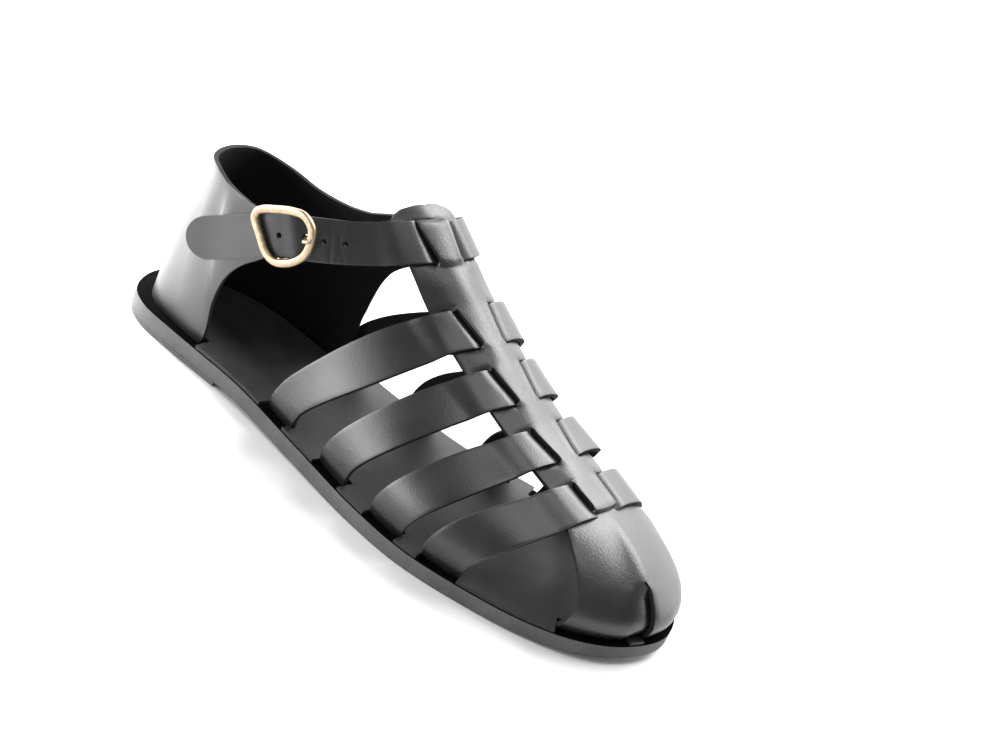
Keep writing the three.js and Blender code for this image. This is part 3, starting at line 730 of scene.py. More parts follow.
# %% Spine under the ankle strap
UNDER_ROWS = np.linspace(15.6, 20.4, 241)  # rows of the strap's path near the crossing
UNDER_ACROSS = np.linspace(-0.6, 1.6, 45)
UNDER_FADE = (0.1, 0.55)
UNDER_UNTIL = 146
UNDER_SMOOTHING = (60, 60, 4)  # row, rows either side, rounds
ts = UNDER_ROWS / LAST_ROW
strap_t, strap_v = (a.ravel() for a in np.meshgrid(ts, UNDER_ACROSS, indexing="ij"))
strap_low = catmull_rom(LOWER, strap_t, False)
strap_points = mix(strap_low, catmull_rom(UPPER, strap_t, False), strap_v[:, None])
strap_out = collar_face(strap_t, np.full(len(strap_t), 0.5))[1]
for i in np.flatnonzero(spine_x < UNDER_UNTIL):
    for j in range(COLUMNS):
        nearest = np.argmin(np.sum((strap_points - spine_grid[i, j]) ** 2, 1))
        height = np.dot(spine_grid[i, j] - strap_points[nearest], strap_out[nearest])
        share = strap_v[nearest]
        near = 1 - ease(max(-share, share - 1), *UNDER_FADE)
        spine_grid[i, j] -= strap_out[nearest] * height * near
spine_grid = relaxed(spine_grid, *UNDER_SMOOTHING)
print("drawn on to the strap up to", UNDER_UNTIL, "mm from the heel")

# %% [markdown]
# The rise says how far each point is then lifted off the foot. The spine is crowned along its middle. At
# each crossing the middle becomes a bridge instead and the wings are pressed down by the strap. On the
# cap a pinched crest runs down to the dart's tip, and below it the outer lobe is folded in under the raw
# edge of the inner one.

# %% Spine relief
EDGE_SOFT = 2.2  # beyond a strap's edge, where bridge and press have died away
BRIDGE_FULL = 1.0  # inside a strap's edge, where they are complete
PRESS_FULL = 0.5
CROWN_ROWS = (SPINE_TOP + 6, SPINE_TOP + 34)
CROWN_END = 228
COUNTED_AT = 150.0  # the row whose distances stand for all in crown and crest
CREST = 2.6
CREST_SPREAD = 3.2
CREST_START = 0.02
CREST_LOSS, CREST_END = 0.75, 0.9
FLAP_DEPTH = 2.6
FLAP_UNDER = 0.8
FLAP_FOLDS = 0.12
lift_along = normals(spine_grid)
if lift_along[:len(SPINE_ROWS), :, 2].mean() < 0:
    lift_along = -lift_along
pair = unit(lift_along[:, MIDDLE - 1] + lift_along[:, MIDDLE])
lift_along[~split, MIDDLE - 1] = lift_along[~split, MIDDLE] = pair[~split]
in_slit = np.zeros(ROWS, bool)
over = np.zeros(ROWS)
pressed = np.zeros(ROWS)
for crossing, width in CROSSINGS:
    slope = ridge_z(crossing + 0.5) - ridge_z(crossing - 0.5)
    offset = np.abs(spine_x - crossing) * math.hypot(1, slope)
    over = np.maximum(over, 1 - ease(offset, width / 2 - BRIDGE_FULL, width / 2 + EDGE_SOFT))
    pressed = np.maximum(pressed, 1 - ease(offset, width / 2 - PRESS_FULL, width / 2 + EDGE_SOFT))
    in_slit |= offset < width / 2 + SLIT_PLAY
middle = spine_column < STRIP_COLUMNS
spine_aside = np.concatenate([columns(COUNTED_AT, "lateral")[::-1], columns(COUNTED_AT, "medial")])
crown = on_spine[:, None] * crown_height(spine_aside)[None, :]
crown *= ease(spine_x, *CROWN_ROWS)[:, None] * (1 - ease(spine_x, CROWN_END, CAP_START))[:, None]
lip_share = spine_column / (STRIP_COLUMNS - 1)
row_x = np.minimum(spine_x, CAP_START)
row_aside = np.array([np.r_[columns(x, "lateral")[::-1], columns(x, "medial")] for x in row_x])
row_slit = np.array([np.r_[[slit(x, "lateral")] * MIDDLE, [slit(x, "medial")] * MIDDLE] for x in row_x])
dip = np.minimum(strap_height(row_aside, row_slit) - OVER_WING, 0) * (row_aside < SPINE_HALF)
rise = np.where(middle[None, :], mix(crown, bridge_height(lip_share)[None, :], over[:, None]),
                mix(crown, dip, pressed[:, None]))
crest = CREST * ease(cap_q, CREST_START, DART_TIP) * (1 - CREST_LOSS * ease(cap_q, DART_TIP, CREST_END))
rise += crest[:, None] * np.exp(-np.abs(spine_aside) / CREST_SPREAD)[None, :]
spine_grid = spine_grid + lift_along * rise[..., None]
folded = ease(cap_q, DART_TIP, DART_TIP + FLAP_FOLDS)[:, None]
inner_edge = spine_grid[:, MIDDLE]
tucked = inner_edge - lift_along[:, MIDDLE] * folded * FLAP_DEPTH
tucked = tucked + (spine_grid[:, MIDDLE + 1] - inner_edge) * folded * FLAP_UNDER
spine_grid[split, MIDDLE - 1] = tucked[split]
print("highest rise", rise.max().round(2), "mm")

# %% [markdown]
# Now the sheet is laid. The slits are faces deleted from it, and so is the strip between its two middle
# columns, which merging closes above the dart. Solidify then gives it the leather's wall, with a material
# of its own for the grain side, the flesh side and the cut edge, and a bevel adds the corner, whose paler
# colour is a painted highlight.

# %% Spine and toe cap
LEATHER_SIDES = ("grain", "flesh", "cut", "corner")
CORNER_HIGHLIGHT_SLOT = LEATHER_SIDES.index("corner")
CORNER_BEVEL = 0.3


def grid_sheet(name, grid):
    """A sheet whose points are given as an array of rows and columns."""
    count_along, count_across = grid.shape[0] - 1, grid.shape[1] - 1

    def lay(u, v):
        return grid[np.rint(u * count_along).astype(int), np.rint(v * count_across).astype(int)]

    return sheet(name, count_along, count_across, lay)


def delete_faces(obj, chosen):
    """Deletes the faces of a grid sheet whose row and column the function chooses."""
    in_edit_mode(obj, lambda: bpy.ops.mesh.select_all(action="DESELECT"),
                 lambda: bpy.ops.mesh.select_mode(type="FACE"))
    uv = obj.data.uv_layers.active.data
    for face in obj.data.polygons:
        middle_uv = np.mean([uv[i].uv for i in face.loop_indices], axis=0)
        face.select = bool(chosen(*middle_uv))
    bpy.ops.object.mode_set(mode="EDIT")
    bpy.ops.mesh.delete(type="FACE")
    bpy.ops.object.mode_set(mode="OBJECT")
    return obj


def spine_holes(u, v):
    row = min(int(u * (ROWS - 1)), ROWS - 2)
    col = min(int(v * (COLUMNS - 1)), COLUMNS - 2)
    if col == MIDDLE - 1:
        return True
    is_slit = set(spine_column[[col, col + 1]]) == {STRIP_COLUMNS - 1, STRIP_COLUMNS}
    return is_slit and in_slit[row] and in_slit[row + 1]


def blanks(obj):
    """Empty materials that hold the leather's slots until the leather is mixed."""
    for side in LEATHER_SIDES:
        name = "blank_" + side
        obj.data.materials.append(bpy.data.materials.get(name) or bpy.data.materials.new(name))
    return obj


def thicken(obj, thickness=LEATHER, bevel=CORNER_BEVEL):
    """Gives a laid sheet its wall outwards and softens its cut edges: grain side, flesh side and edge."""
    finish_with(obj, "SOLIDIFY", thickness=thickness / MILLIMETRES, offset=1, material_offset=1,
                material_offset_rim=LEATHER_SIDES.index("cut"))
    # The bevel's faces take the corner slot, which is coloured as a painted highlight.
    round_edges(obj, bevel, 2, 55, CORNER_HIGHLIGHT_SLOT)
    return smooth(obj, 40)


spine = grid_sheet("spine_and_toe_cap", spine_grid)
delete_faces(spine, spine_holes)
in_edit_mode(spine, merge(), outward)
thicken(blanks(spine))
seat(spine, "upper")

# %% [markdown]
# Each cross strap stands on the outer edge of the sole, climbs the foot, goes through the spine and comes
# down on the inner edge. It takes its points from the same foot as the spine, so the two lie parallel,
# and it is lifted by its weaving height. Rows are closer together near the slits, where it bends most,
# and beyond the spine a strap's run from top to foot is smoothed.

# %% Cross straps
STRAP_COLUMNS = 13
STRAP_END = 0.983
NEAR_SLITS = 12.0
NEAR_STEP = 0.55
FAR_STEP = 1.4
FINE_STEPS = 500
PROBE = 2.0  # either side of the crossing, to find which way the strap's width runs
MIDDLE_FROM, FOOT_FROM = (0.15, 0.4), (0.45, 0.85)  # where the strap takes on its width there
FOOT_ROUNDING = 60
ROUNDING_FADE = (2, 16)  # beyond the spine's edge


def strap_side(row, side):
    """Half a strap from the ridge to the sole: its points, and their height over the foot."""
    crossing, foot, middle, width = row[1], *row[3:]
    fine = np.linspace(0, STRAP_END, FINE_STEPS)
    reach = length_along(foot_point(np.full(FINE_STEPS, crossing), side, fine))
    far = np.linspace(NEAR_SLITS, reach[-1], round((reach[-1] - NEAR_SLITS) / FAR_STEP))
    q = np.interp(np.concatenate([np.arange(0, NEAR_SLITS, NEAR_STEP), far]), reach, fine)
    centre = foot_point(np.full(len(q), crossing), side, q)
    travel = unit(np.gradient(centre, axis=0))
    aside = (foot_point(np.full(len(q), crossing + PROBE), side, q)
             - foot_point(np.full(len(q), crossing - PROBE), side, q)) / (2 * PROBE)
    aside -= travel * np.sum(aside * travel, 1, keepdims=True)
    spread = np.linalg.norm(aside, axis=1)
    wide = mix(mix(width, middle, ease(q, *MIDDLE_FROM)), foot, ease(q, *FOOT_FROM))
    grid, distance, slits = [], [], []
    for share in np.linspace(-0.5, 0.5, STRAP_COLUMNS):
        x = crossing + share * wide / spread
        grid.append(foot_point(x, side, q))
        path = foot_point(np.full(FINE_STEPS, crossing + share * width), side, fine)
        distance.append(np.interp(q, fine, length_along(path)))
        slits.append(np.full(len(q), slit(crossing + share * width, side)))
    grid, distance = np.stack(grid, 1), np.stack(distance, 1)
    free = ease(distance[1:-1] - SPINE_HALF, *ROUNDING_FADE)
    for _ in range(FOOT_ROUNDING):
        x = grid[..., 0]
        x[1:-1] += free * ((x[:-2] + x[2:]) / 2 - x[1:-1]) * EASING
    return grid, strap_height(distance, np.stack(slits, 1))


def strap_grid(row):
    (outer, outer_height), (inner, inner_height) = (strap_side(row, side) for side in ("lateral", "medial"))
    grid = np.concatenate([outer[::-1], inner[1:]])
    height = np.concatenate([outer_height[::-1], inner_height[1:]])
    out = normals(grid)
    centre = STRAP_COLUMNS // 2
    top = np.argmax(grid[:, centre, 2])
    if out[top, centre, 2] < 0:
        out = -out
    return grid + out * height[..., None], out


def facing(obj, out):
    """Turns a sheet over where its faces look into the foot."""
    face_normal = np.mean([np.dot(v.normal, out[i]) for i, v in enumerate(obj.data.vertices)])
    if face_normal < 0:
        in_edit_mode(obj, bpy.ops.mesh.flip_normals)
    return obj


cross_straps = []
for number, row in enumerate(STRAPS, 1):
    grid, out = strap_grid(row)
    strap = grid_sheet(f"cross_strap_{number}", grid)
    order = grid_sheet("order", out)
    directions = from_frame(coordinates(order))
    bpy.data.objects.remove(order)
    facing(strap, directions)
    thicken(blanks(strap))
    cross_straps.append(seat(strap, "upper"))

# %% [markdown]
# Now the counter and ankle strap are laid along the path worked out above, lifted where they are woven,
# and thickened. Use shows at the strap's free end, which waves inside the buckle and has fine creases in
# front of it. The strap's holes are punched last, with round cutters set in the buckle's own frame: one
# axis along the strap, one up across it, one out of the foot.

# %% Counter and ankle strap
COLLAR_ROWS = 840
COLLAR_COLUMNS = 24
BUCKLE_CENTRE = np.array([69.0, -28.6, 78.0])
BUCKLE_FORWARD = np.array([0.83, 0.05, 0.555])
BUCKLE_OUT = np.array([-0.03, -1.0, 0.04])
HOLES = ((0.4, -0.3, 1.9), (18.0, -4.2, -9.0), (26.0, -5.9, -14.0))  # along, up, inner end
HOLE_RADIUS = 1.2
HOLE_OUTER_END = 14.0
PRONG_HOLE = (11.9, -2.0)
PRONG_HOLE_INNER, PRONG_HOLE_RADIUS = -4.0, 1.9
WOVEN_NEAR = 0.08
WAVE, WAVE_AT, WAVE_WIDE = 0.7, 6.4, 3.0
CREASES = ((20.6, 0.12, 0.16), (22.8, -0.1, 0.12), (24.3, 0.2, 0.1))  # along, lean, depth
CREASE_WIDE = 0.75
FREE_END = 20 / LAST_ROW

buckle_x = BUCKLE_FORWARD / np.linalg.norm(BUCKLE_FORWARD)
buckle_z = BUCKLE_OUT - buckle_x * np.dot(BUCKLE_OUT, buckle_x)
buckle_z /= np.linalg.norm(buckle_z)
buckle_y = np.cross(buckle_z, buckle_x)


def at_buckle(points):
    """Places along, up and out of the buckle, as places in the sole's frame."""
    return BUCKLE_CENTRE + np.asarray(points, float) @ np.array([buckle_x, buckle_y, buckle_z])


def used(point, t):
    """How wear has shaped the strap's free end: a wave inside the buckle and fine creases before it."""
    along = (point - BUCKLE_CENTRE) @ buckle_x
    up = (point - BUCKLE_CENTRE) @ buckle_y
    height = WAVE * np.exp(-((along - WAVE_AT) / WAVE_WIDE) ** 2)
    for at, lean, depth in CREASES:
        height = height - depth * np.exp(-((along - at - lean * up) / CREASE_WIDE) ** 2)
    return np.where(t > FREE_END, height, 0)


def collar_lay(t, v):
    point, out = collar_face(t, v)
    aside = np.linalg.norm(collar_middle(t) - collar_middle(np.full(len(t), COLLAR_CROSSING)), axis=1)
    slit_at = np.where(t < COLLAR_CROSSING, slit(ANKLE_CROSSING, "medial"), slit(ANKLE_CROSSING, "lateral"))
    woven = np.where(np.abs(t - COLLAR_CROSSING) < WOVEN_NEAR, strap_height(aside, slit_at), 0)
    return point + out * (woven + used(point, t))[:, None], out


collar_out = []


def collar_points(t, v):
    point, out = collar_lay(t, v)
    collar_out.append(out)
    return point


def punch(along, up, inner, radius):
    """A round cutter through the strap."""
    bpy.ops.object.select_all(action="DESELECT")
    bpy.ops.mesh.primitive_cylinder_add(vertices=32, radius=radius, depth=1)
    cutter = bpy.context.object
    points = coordinates(cutter)
    out = mix(inner, HOLE_OUTER_END, points[:, 2] + 0.5)
    put(cutter, in_frame(at_buckle(np.c_[points[:, 0] + along, points[:, 1] + up, out])))
    for face in blanks(cutter).data.polygons:
        face.material_index = LEATHER_SIDES.index("cut")
    return in_edit_mode(cutter, outward)


counter = sheet("counter_and_ankle_strap", COLLAR_ROWS, COLLAR_COLUMNS, collar_points)
facing(counter, collar_out[0])
in_edit_mode(counter, merge())
thicken(blanks(counter))
cutters = [punch(along, up, inner, HOLE_RADIUS) for along, up, inner in HOLES]
cutters.append(punch(*PRONG_HOLE, PRONG_HOLE_INNER, PRONG_HOLE_RADIUS))
carve(counter, joined("hole_cutters", cutters))
smooth(counter, 40)
seat(counter, "upper")

# %% [markdown]
# The buckle's frame is a bent bar of pale gold metal, a rounded D that is fuller at the front. A torus
# has the right rings already, so its points are only moved: once round the D's outline, with a flattened
# round for the bar's section. A thin middle bar on two legs holds the counter's end and the prong.

# %% Buckle frame
FRAME_BAR = 3.3
FRAME_THICK = 2.6
FRAME_LIFT = 6.1
FRAME_FRONT = 19.4
FRAME_OUTLINE = (
    (-10.7, 8.2), (-8.4, 11.5), (-4.4, 12.5), (1.5, 12.1), (9.0, 11.1), (15.8, 8.6), (FRAME_FRONT, 2.6),
    (18.2, -4.2), (13.2, -10.6), (5.5, -13.2), (-2.4, -12.2), (-6.6, -8.2), (-9.4, 1.0),
)
SECTION_SQUARE = 0.72
BAR_RADIUS = 0.9
BAR_OUT = 0.3
BAR_HALF = 9.9
LEG_RADIUS = 0.8
LEG_SUNK = 1  # how far a leg runs up into the frame
ROD_BEVEL = 0.25
RING_STEP = 5e-4


def flattened(value):
    return np.sign(value) * np.abs(value) ** SECTION_SQUARE


def frame_ring():
    bpy.ops.object.select_all(action="DESELECT")
    bpy.ops.mesh.primitive_torus_add(major_segments=150, minor_segments=24, major_radius=1, minor_radius=0.25)
    ring = bpy.context.object
    x, y, z = coordinates(ring).T
    place = (np.arctan2(y, x) / (2 * math.pi)) % 1
    turn = np.arctan2(z, np.hypot(x, y) - 1)
    points = catmull_rom(FRAME_OUTLINE, place, True)
    onward, back = (catmull_rom(FRAME_OUTLINE, (place + step) % 1, True) for step in (RING_STEP, -RING_STEP))
    along = unit(onward - back)
    inset = FRAME_BAR / 2 * (1 + flattened(np.cos(turn)))
    height = FRAME_LIFT + FRAME_THICK / 2 * (1 + flattened(np.sin(turn)))
    points = points + np.c_[along[:, 1], -along[:, 0]] * inset[:, None]
    put(ring, in_frame(at_buckle(np.c_[points, height])))
    return in_edit_mode(ring, outward)


def rod(start, end, radius):
    """A round rod with soft ends between two places of the buckle."""
    bpy.ops.object.select_all(action="DESELECT")
    bpy.ops.mesh.primitive_cylinder_add(vertices=24, radius=radius, depth=1)
    made = bpy.context.object
    points = coordinates(made)
    start, end = np.array(start, float), np.array(end, float)
    axis = (end - start) / np.linalg.norm(end - start)
    side = np.cross(axis, (1.0, 0.0, 0.0))
    side /= np.linalg.norm(side)
    other = np.cross(axis, side)
    middle = mix(start, end, points[:, 2:3] + 0.5)
    put(made, in_frame(at_buckle(middle + points[:, :1] * side + points[:, 1:2] * other)))
    in_edit_mode(made, outward)
    return round_edges(made, ROD_BEVEL, 2, 40)


buckle = joined("buckle_frame_metal", [
    frame_ring(),
    rod((0, -BAR_HALF, BAR_OUT), (0, BAR_HALF, BAR_OUT), BAR_RADIUS),
    *(rod((0, arm, BAR_OUT - BAR_RADIUS), (0, arm, FRAME_LIFT + LEG_SUNK), LEG_RADIUS)
      for arm in (-BAR_HALF, BAR_HALF)),
])
seat(smooth(buckle, 45), "buckle_frame")

# %% [markdown]
# The prong is a round wire with an eye about the middle bar. It runs under the strap, comes up through a
# hole and rests on the front of the frame. A sheet rolled into a tube follows its path; the ends round
# off to a point, so merging closes them.

# %% Buckle prong
PRONG_RADIUS = 0.8
PRONG_ROUND = 0.03  # the share of its length over which each end rounds off
PRONG_STEP = 0.002
PRONG_GRID = (90, 18)
EYE_RADIUS = 0.6
PRONG_REST = FRAME_LIFT + FRAME_THICK + GAP + PRONG_RADIUS
hole_x, hole_y = PRONG_HOLE
PRONG_PATH = (  # along, up, out
    (1.8, 0, BAR_OUT), (5, -0.8, BAR_OUT - 0.2), (hole_x - 2.6, hole_y + 0.4, -0.8),
    (hole_x - 0.2, hole_y, 0.9), (hole_x + 1.1, hole_y - 0.2, 4.2),
    (FRAME_FRONT - FRAME_BAR - 1, hole_y - 0.9, PRONG_REST), (FRAME_FRONT - 1.4, hole_y - 1.2, PRONG_REST),
)


def prong_lay(u, v):
    centre = catmull_rom(PRONG_PATH, u, False)
    onward = catmull_rom(PRONG_PATH, np.minimum(u + PRONG_STEP, 1), False)
    back = catmull_rom(PRONG_PATH, np.maximum(u - PRONG_STEP, 0), False)
    along = unit(onward - back)
    side = unit(np.cross(along, (0.0, 1.0, 0.0)))
    other = np.cross(along, side)
    from_end = np.clip(np.minimum(u, 1 - u) / PRONG_ROUND, 0, 1)
    radius = (PRONG_RADIUS * np.sqrt(from_end * (2 - from_end)))[:, None]
    turn = (v * 2 * math.pi)[:, None]
    return at_buckle(centre + radius * (side * np.cos(turn) + other * np.sin(turn)))


def prong_eye():
    bpy.ops.object.select_all(action="DESELECT")
    bpy.ops.mesh.primitive_torus_add(major_segments=40, minor_segments=14,
                                     major_radius=BAR_RADIUS + GAP + EYE_RADIUS, minor_radius=EYE_RADIUS)
    eye = bpy.context.object
    x, y, z = coordinates(eye).T
    put(eye, in_frame(at_buckle(np.c_[x, z, y + BAR_OUT])))
    return in_edit_mode(eye, outward)


finger = in_edit_mode(sheet("prong_finger", *PRONG_GRID, prong_lay), merge(), outward)
prong = joined("buckle_prong_metal", [finger, prong_eye()])
seat(smooth(prong, 45), "buckle_prong")

# %% [markdown]
# The counter's front end is skived thin and folded round the middle bar, which is what holds the buckle
# on. It is a short sheet rolled round the bar and thickened outwards.

# %% Buckle loop
FOLD_BACK = 3.2
FOLD_WIDE = STRAP_WIDTH - 2.6
FOLD_LEATHER = 1.2
FOLD_BEVEL = 0.15
FOLD_GRID = (40, 10)
FOLD_FLAT = 0.2  # the share of the sheet that stays flat at each end


def fold_lay(u, v):
    inside = BAR_RADIUS + GAP
    turn = math.pi / 2 - np.clip((u - FOLD_FLAT) / (1 - 2 * FOLD_FLAT), 0, 1) * math.pi
    flat = np.clip((FOLD_FLAT - u) / FOLD_FLAT, 0, 1) + np.clip((u - 1 + FOLD_FLAT) / FOLD_FLAT, 0, 1)
    along = inside * np.cos(turn) - FOLD_BACK * flat
    return at_buckle(np.c_[along, (v - 0.5) * FOLD_WIDE, inside * np.sin(turn) + BAR_OUT])


fold = sheet("buckle_loop", *FOLD_GRID, fold_lay)
facing(fold, from_frame(coordinates(fold)) - at_buckle((0, 0, BAR_OUT)))
thicken(blanks(fold), FOLD_LEATHER, FOLD_BEVEL)
seat(fold, "upper")

# %% [markdown]
# Shader maths reads best as plain sums. The small class below wraps one output of a node, and its
# operators add Math nodes to the tree; another class adds any other node by its type, its settings and
# its sockets.

# %% Shader helpers
class Wire:
    """A node's output; sums and products with it add Math nodes."""

    def __init__(self, finish, socket):
        self.finish, self.socket = finish, socket

    def _math(self, operation, first, second):
        return self.finish.node("ShaderNodeMath", {"operation": operation}, {0: first, 1: second})

    def __add__(self, other):
        return self._math("ADD", self, other)

    def __radd__(self, other):
        return self._math("ADD", other, self)

    def __mul__(self, other):
        return self._math("MULTIPLY", self, other)

    def __rmul__(self, other):
        return self._math("MULTIPLY", other, self)


class Finish:
    """A material while it is being mixed."""

    def __init__(self, name):
        self.material = bpy.data.materials.new(name)
        self.material.use_nodes = True
        self.tree = self.material.node_tree
        self.shader = self.tree.nodes["Principled BSDF"]

    def node(self, kind, settings=None, sockets=None, output=0):
        made = self.tree.nodes.new(kind)
        for name, value in (settings or {}).items():
            setattr(made, name, value)
        for name, value in (sockets or {}).items():
            self.join(value, made.inputs[name])
        return Wire(self, made.outputs[output])

    def join(self, value, socket):
        if isinstance(value, Wire):
            self.tree.links.new(value.socket, socket)
        else:
            socket.default_value = value

    def set(self, **sockets):
        for name, value in sockets.items():
            self.join(value, self.shader.inputs[name.replace("_", " ").title().replace("Ior", "IOR")])
        return self

    def coat(self, share, dark, pale, rough, specular=0.5):
        """One share sets the colour between two tones, and the roughness from a base and a range."""
        return self.set(base_color=self.colours(share, dark, pale), roughness=rough[0] + share * rough[1],
                        specular_ior_level=specular)

    def place(self, scale=float(MILLIMETRES)):
        """Object coordinates, in millimetres unless another scale is given."""
        here = self.node("ShaderNodeTexCoord", output="Object")
        return self.node("ShaderNodeMapping", {}, {"Vector": here, "Scale": (scale, scale, scale)})

    def noise(self, where, scale, detail=3.0, roughness=0.5):
        return self.node("ShaderNodeTexNoise", {"noise_dimensions": "3D"},
                         {"Vector": where, "Scale": scale, "Detail": detail, "Roughness": roughness})

    def cells(self, where, scale):
        return self.node("ShaderNodeTexVoronoi", {"feature": "F1"}, {"Vector": where, "Scale": scale})

    def between(self, value, low, high):
        """A value from 0 to 1, stretched from a narrow band of another."""
        return self.node("ShaderNodeMapRange", {"clamp": True},
                         {"Value": value, "From Min": low, "From Max": high, "To Min": 0.0, "To Max": 1.0})

    def colours(self, share, first, second):
        return self.node("ShaderNodeMix", {"data_type": "RGBA"},
                         {"Factor": share, 6: (*first, 1), 7: (*second, 1)}, output=2)

    def relief(self, height, millimetres, strength=1.0):
        sockets = {"Height": height, "Distance": millimetres / MILLIMETRES, "Strength": strength}
        return self.set(normal=self.node("ShaderNodeBump", {}, sockets))


print("shader helpers ready")

# %% [markdown]
# The grain side of the leather is smooth, black and lightly waxed: it takes broad soft reflections, with
# a fine pebble and a slight cloudiness in its gloss. The flesh side is matt and fibrous. The cut edges
# are raw, with a green-grey cast. Their bevelled corners are paler: a painted highlight, the light that a
# corner catches, which draws the thin line round every strap.

# %% Leather
def grain_leather():
    finish = Finish("grain_leather")
    where = finish.place()
    pebble = finish.cells(where, 1.1)
    fine = finish.noise(where, 1.9, 4.0, 0.65)
    cloud = finish.noise(where, 0.04, 3.0)
    share = finish.between(cloud * 0.7 + fine * 0.3, 0.4, 0.64)
    finish.set(base_color=finish.colours(share, (0.006, 0.0061, 0.0068), (0.012, 0.0123, 0.0132)),
               roughness=0.28 + share * 0.08 + fine * 0.08, specular_ior_level=0.75)
    return finish.relief(pebble * 0.5 + fine * 0.5, 0.1, 0.7).material


def flesh_side():
    finish = Finish("flesh_side")
    where = finish.place()
    fibre = finish.noise(where, 1.6, 5.0, 0.7)
    share = finish.between(fibre, 0.35, 0.7)
    finish.coat(share, (0.0015, 0.0015, 0.0016), (0.005, 0.005, 0.0053), (0.86, 0.1), 0.25)
    return finish.relief(fibre, 0.2, 0.6).material


def cut_edge():
    finish = Finish("cut_edge")
    where = finish.place()
    fibre = finish.noise(where, 1.1, 5.0, 0.7)
    share = finish.between(fibre, 0.36, 0.68)
    finish.coat(share, (0.004, 0.0052, 0.005), (0.016, 0.021, 0.0192), (0.7, 0.2), 0.3)
    return finish.relief(fibre, 0.25, 0.7).material


# Painted highlight: the bevel's corner faces are coloured paler for the light a corner catches.
def corner_highlight():
    finish = Finish("corner_highlight")
    where = finish.place()
    fibre = finish.noise(where, 1.3, 5.0, 0.7)
    share = finish.between(fibre, 0.36, 0.68)
    finish.coat(share, (0.02, 0.0244, 0.023), (0.08, 0.096, 0.09), (0.5, 0.25))
    return finish.relief(fibre, 0.15, 0.6).material


leathers = (grain_leather(), flesh_side(), cut_edge(), corner_highlight())
leather_pieces = [spine, counter, fold, *cross_straps]
for piece in leather_pieces:
    for index, leather in enumerate(leathers):
        piece.data.materials[index] = leather
print("leather on", len(leather_pieces), "pieces")

# %% [markdown]
# The insole is a smoother leather, dulled by handling. The rubber of the sole is grey and matt with a
# fine speckle; its top is painted shade, near black and unreflecting, where the notches and the ledge
# behind the counter lie in shadow. The metal is a pale gold, dulled in patches by wear.

# %% Sole, insole and metal
LOOKS_UP = 0.9


def insole_leather():
    finish = Finish("insole_leather")
    where = finish.place()
    pebble = finish.cells(where, 0.7)
    cloud = finish.noise(where, 0.05, 4.0, 0.6)
    share = finish.between(cloud, 0.35, 0.65)
    finish.coat(share, (0.012, 0.012, 0.0127), (0.024, 0.024, 0.025), (0.5, 0.14), 0.4)
    return finish.relief(pebble, 0.06, 0.5).material


def sole_rubber():
    finish = Finish("sole_rubber")
    where = finish.place()
    speckle = finish.noise(where, 1.9, 4.0, 0.7)
    cloud = finish.noise(where, 0.06, 3.0)
    share = finish.between(speckle * 0.6 + cloud * 0.4, 0.36, 0.64)
    finish.coat(share, (0.055, 0.055, 0.056), (0.125, 0.125, 0.125), (0.78, 0.14))
    return finish.relief(speckle, 0.1, 0.5).material


def shaded_rubber_top():
    """Painted shade: the rubber's upper face, made near black and unreflecting, seen only in the notches and
    behind the counter.
    """
    finish = Finish("shaded_rubber_top")
    where = finish.place()
    speckle = finish.noise(where, 1.2, 5.0, 0.7)
    share = finish.between(speckle, 0.36, 0.66)
    finish.coat(share, (0.002, 0.002, 0.0021), (0.007, 0.007, 0.0072), (0.7, 0.2), 0.0)
    return finish.relief(speckle, 0.12, 0.5).material


def pale_gold():
    finish = Finish("pale_gold")
    where = finish.place()
    wear = finish.noise(where, 0.5, 5.0, 0.65)
    share = finish.between(wear, 0.35, 0.7)
    finish.coat(share, (0.4, 0.3, 0.2), (0.56, 0.45, 0.32), (0.3, 0.16)).set(metallic=1.0)
    return finish.relief(wear, 0.05, 0.4).material


for piece, material in ((outsole, sole_rubber()), (lift, sole_rubber()), (insole, insole_leather()),
                        (buckle, pale_gold()), (prong, pale_gold())):
    while piece.data.materials:
        piece.data.materials.pop()
    piece.data.materials.append(material)
outsole.data.materials.append(shaded_rubber_top())
# The rubber's upward faces take the painted shade, a near-black top standing in for the shadow in the
# notches.
for face in outsole.data.polygons:
    face.material_index = 1 if face.normal.z > LOOKS_UP else 0
print("rubber, painted_shade, insole leather and gold are on")

# %% [markdown]
# The picture is high-key: a white floor under the shoe, wide soft lights behind it and over it, one at
# the heel's side and one low in front. Black leather shows mostly what it mirrors, so the lights are
# large. A small narrow one brightens the floor behind the heel, which the counter's back then mirrors,
# and a weak one from above in front opens the shadows.

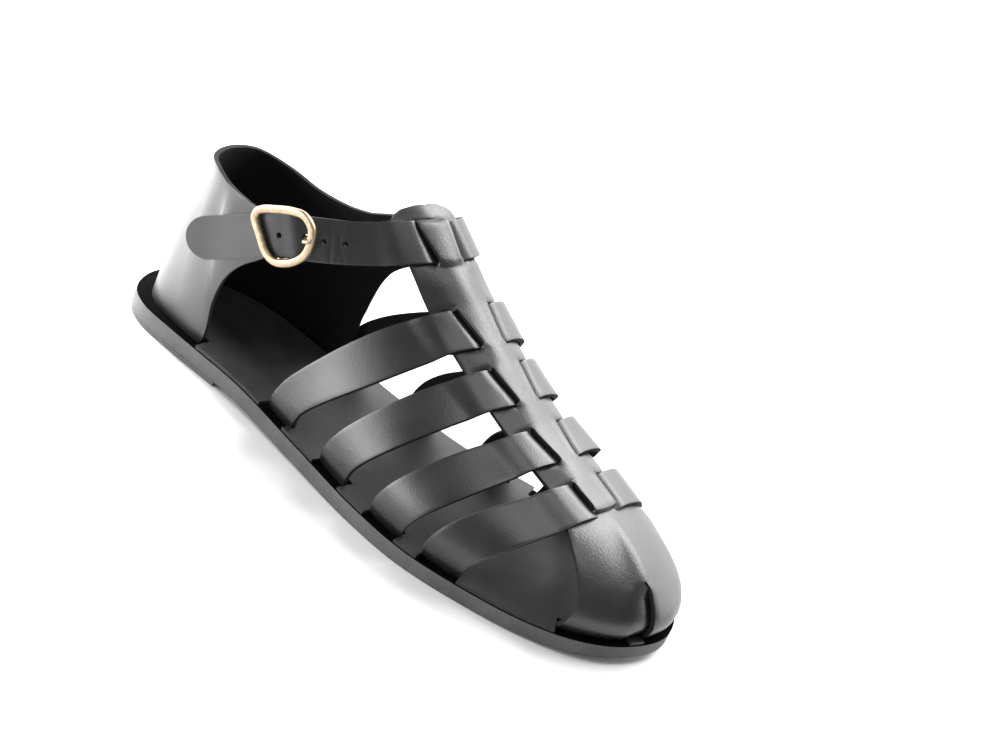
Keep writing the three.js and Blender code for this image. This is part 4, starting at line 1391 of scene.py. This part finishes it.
# %% Floor and light
FLOOR_SIZE = 24
WORLD_LIGHT = 0.34
LIGHTS = (  # name, place, target, size, brightness, spread in degrees
    ("back_wall", (0.1, 1.7, 0.7), (0.1, 0, 0.7), (5.0, 1.3), 3.2, 180),
    ("back_top", (0.25, 1.1, 1.4), (0, 0, 0.05), (1.5, 0.8), 11.0, 180),
    ("heel_side", (-1.5, 0.3, 0.5), (0, 0.2, 0.4), (2.4, 1.1), 4.5, 180),
    ("front_low", (-1.25, -1.05, 0.3), (0, 0, 0.1), (1.7, 0.6), 8.5, 180),
    ("heel_floor", (-0.62, 0.13, 0.3), (-0.37, 0.06, 0), (0.25, 0.2), 80.0, 32),
    ("top_front", (0.3, -0.25, 1.5), (0.05, 0, 0), (0.9, 0.5), 3.0, 180),
)


def floor():
    bpy.ops.object.select_all(action="DESELECT")
    bpy.ops.mesh.primitive_plane_add(size=FLOOR_SIZE)
    ground = bpy.context.object
    ground.name = "pale_floor"
    finish = Finish("pale_floor")
    where = finish.place(1.0)
    share = finish.between(finish.noise(where, 1.5, 2.0), 0.3, 0.7)
    finish.set(base_color=finish.colours(share, (0.9, 0.9, 0.9), (0.92, 0.92, 0.92)), roughness=0.85)
    ground.data.materials.append(finish.material)


def soft_light(name, at, target, size, brightness, spread):
    """A rectangle of light; brightness is what a mirror shows of it, where 1 is the picture's white."""
    lamp = bpy.data.lights.new(name, "AREA")
    lamp.shape = "RECTANGLE"
    lamp.size, lamp.size_y = size
    lamp.energy = brightness * math.pi * size[0] * size[1]
    lamp.spread = math.radians(spread)
    light = bpy.data.objects.new(name, lamp)
    bpy.context.scene.collection.objects.link(light)
    turn = (Vector(target) - Vector(at)).to_track_quat("-Z", "Y")
    light.matrix_world = Matrix.Translation(at) @ turn.to_matrix().to_4x4()


floor()
sky = bpy.data.worlds.new("white_room")
sky.use_nodes = True
sky.node_tree.nodes["Background"].inputs["Color"].default_value = (1, 1, 1, 1)
sky.node_tree.nodes["Background"].inputs["Strength"].default_value = WORLD_LIGHT
bpy.context.scene.world = sky
bpy.context.scene.view_settings.view_transform = "Standard"
for light in LIGHTS:
    soft_light(*light)
print(len(LIGHTS), "soft lights")
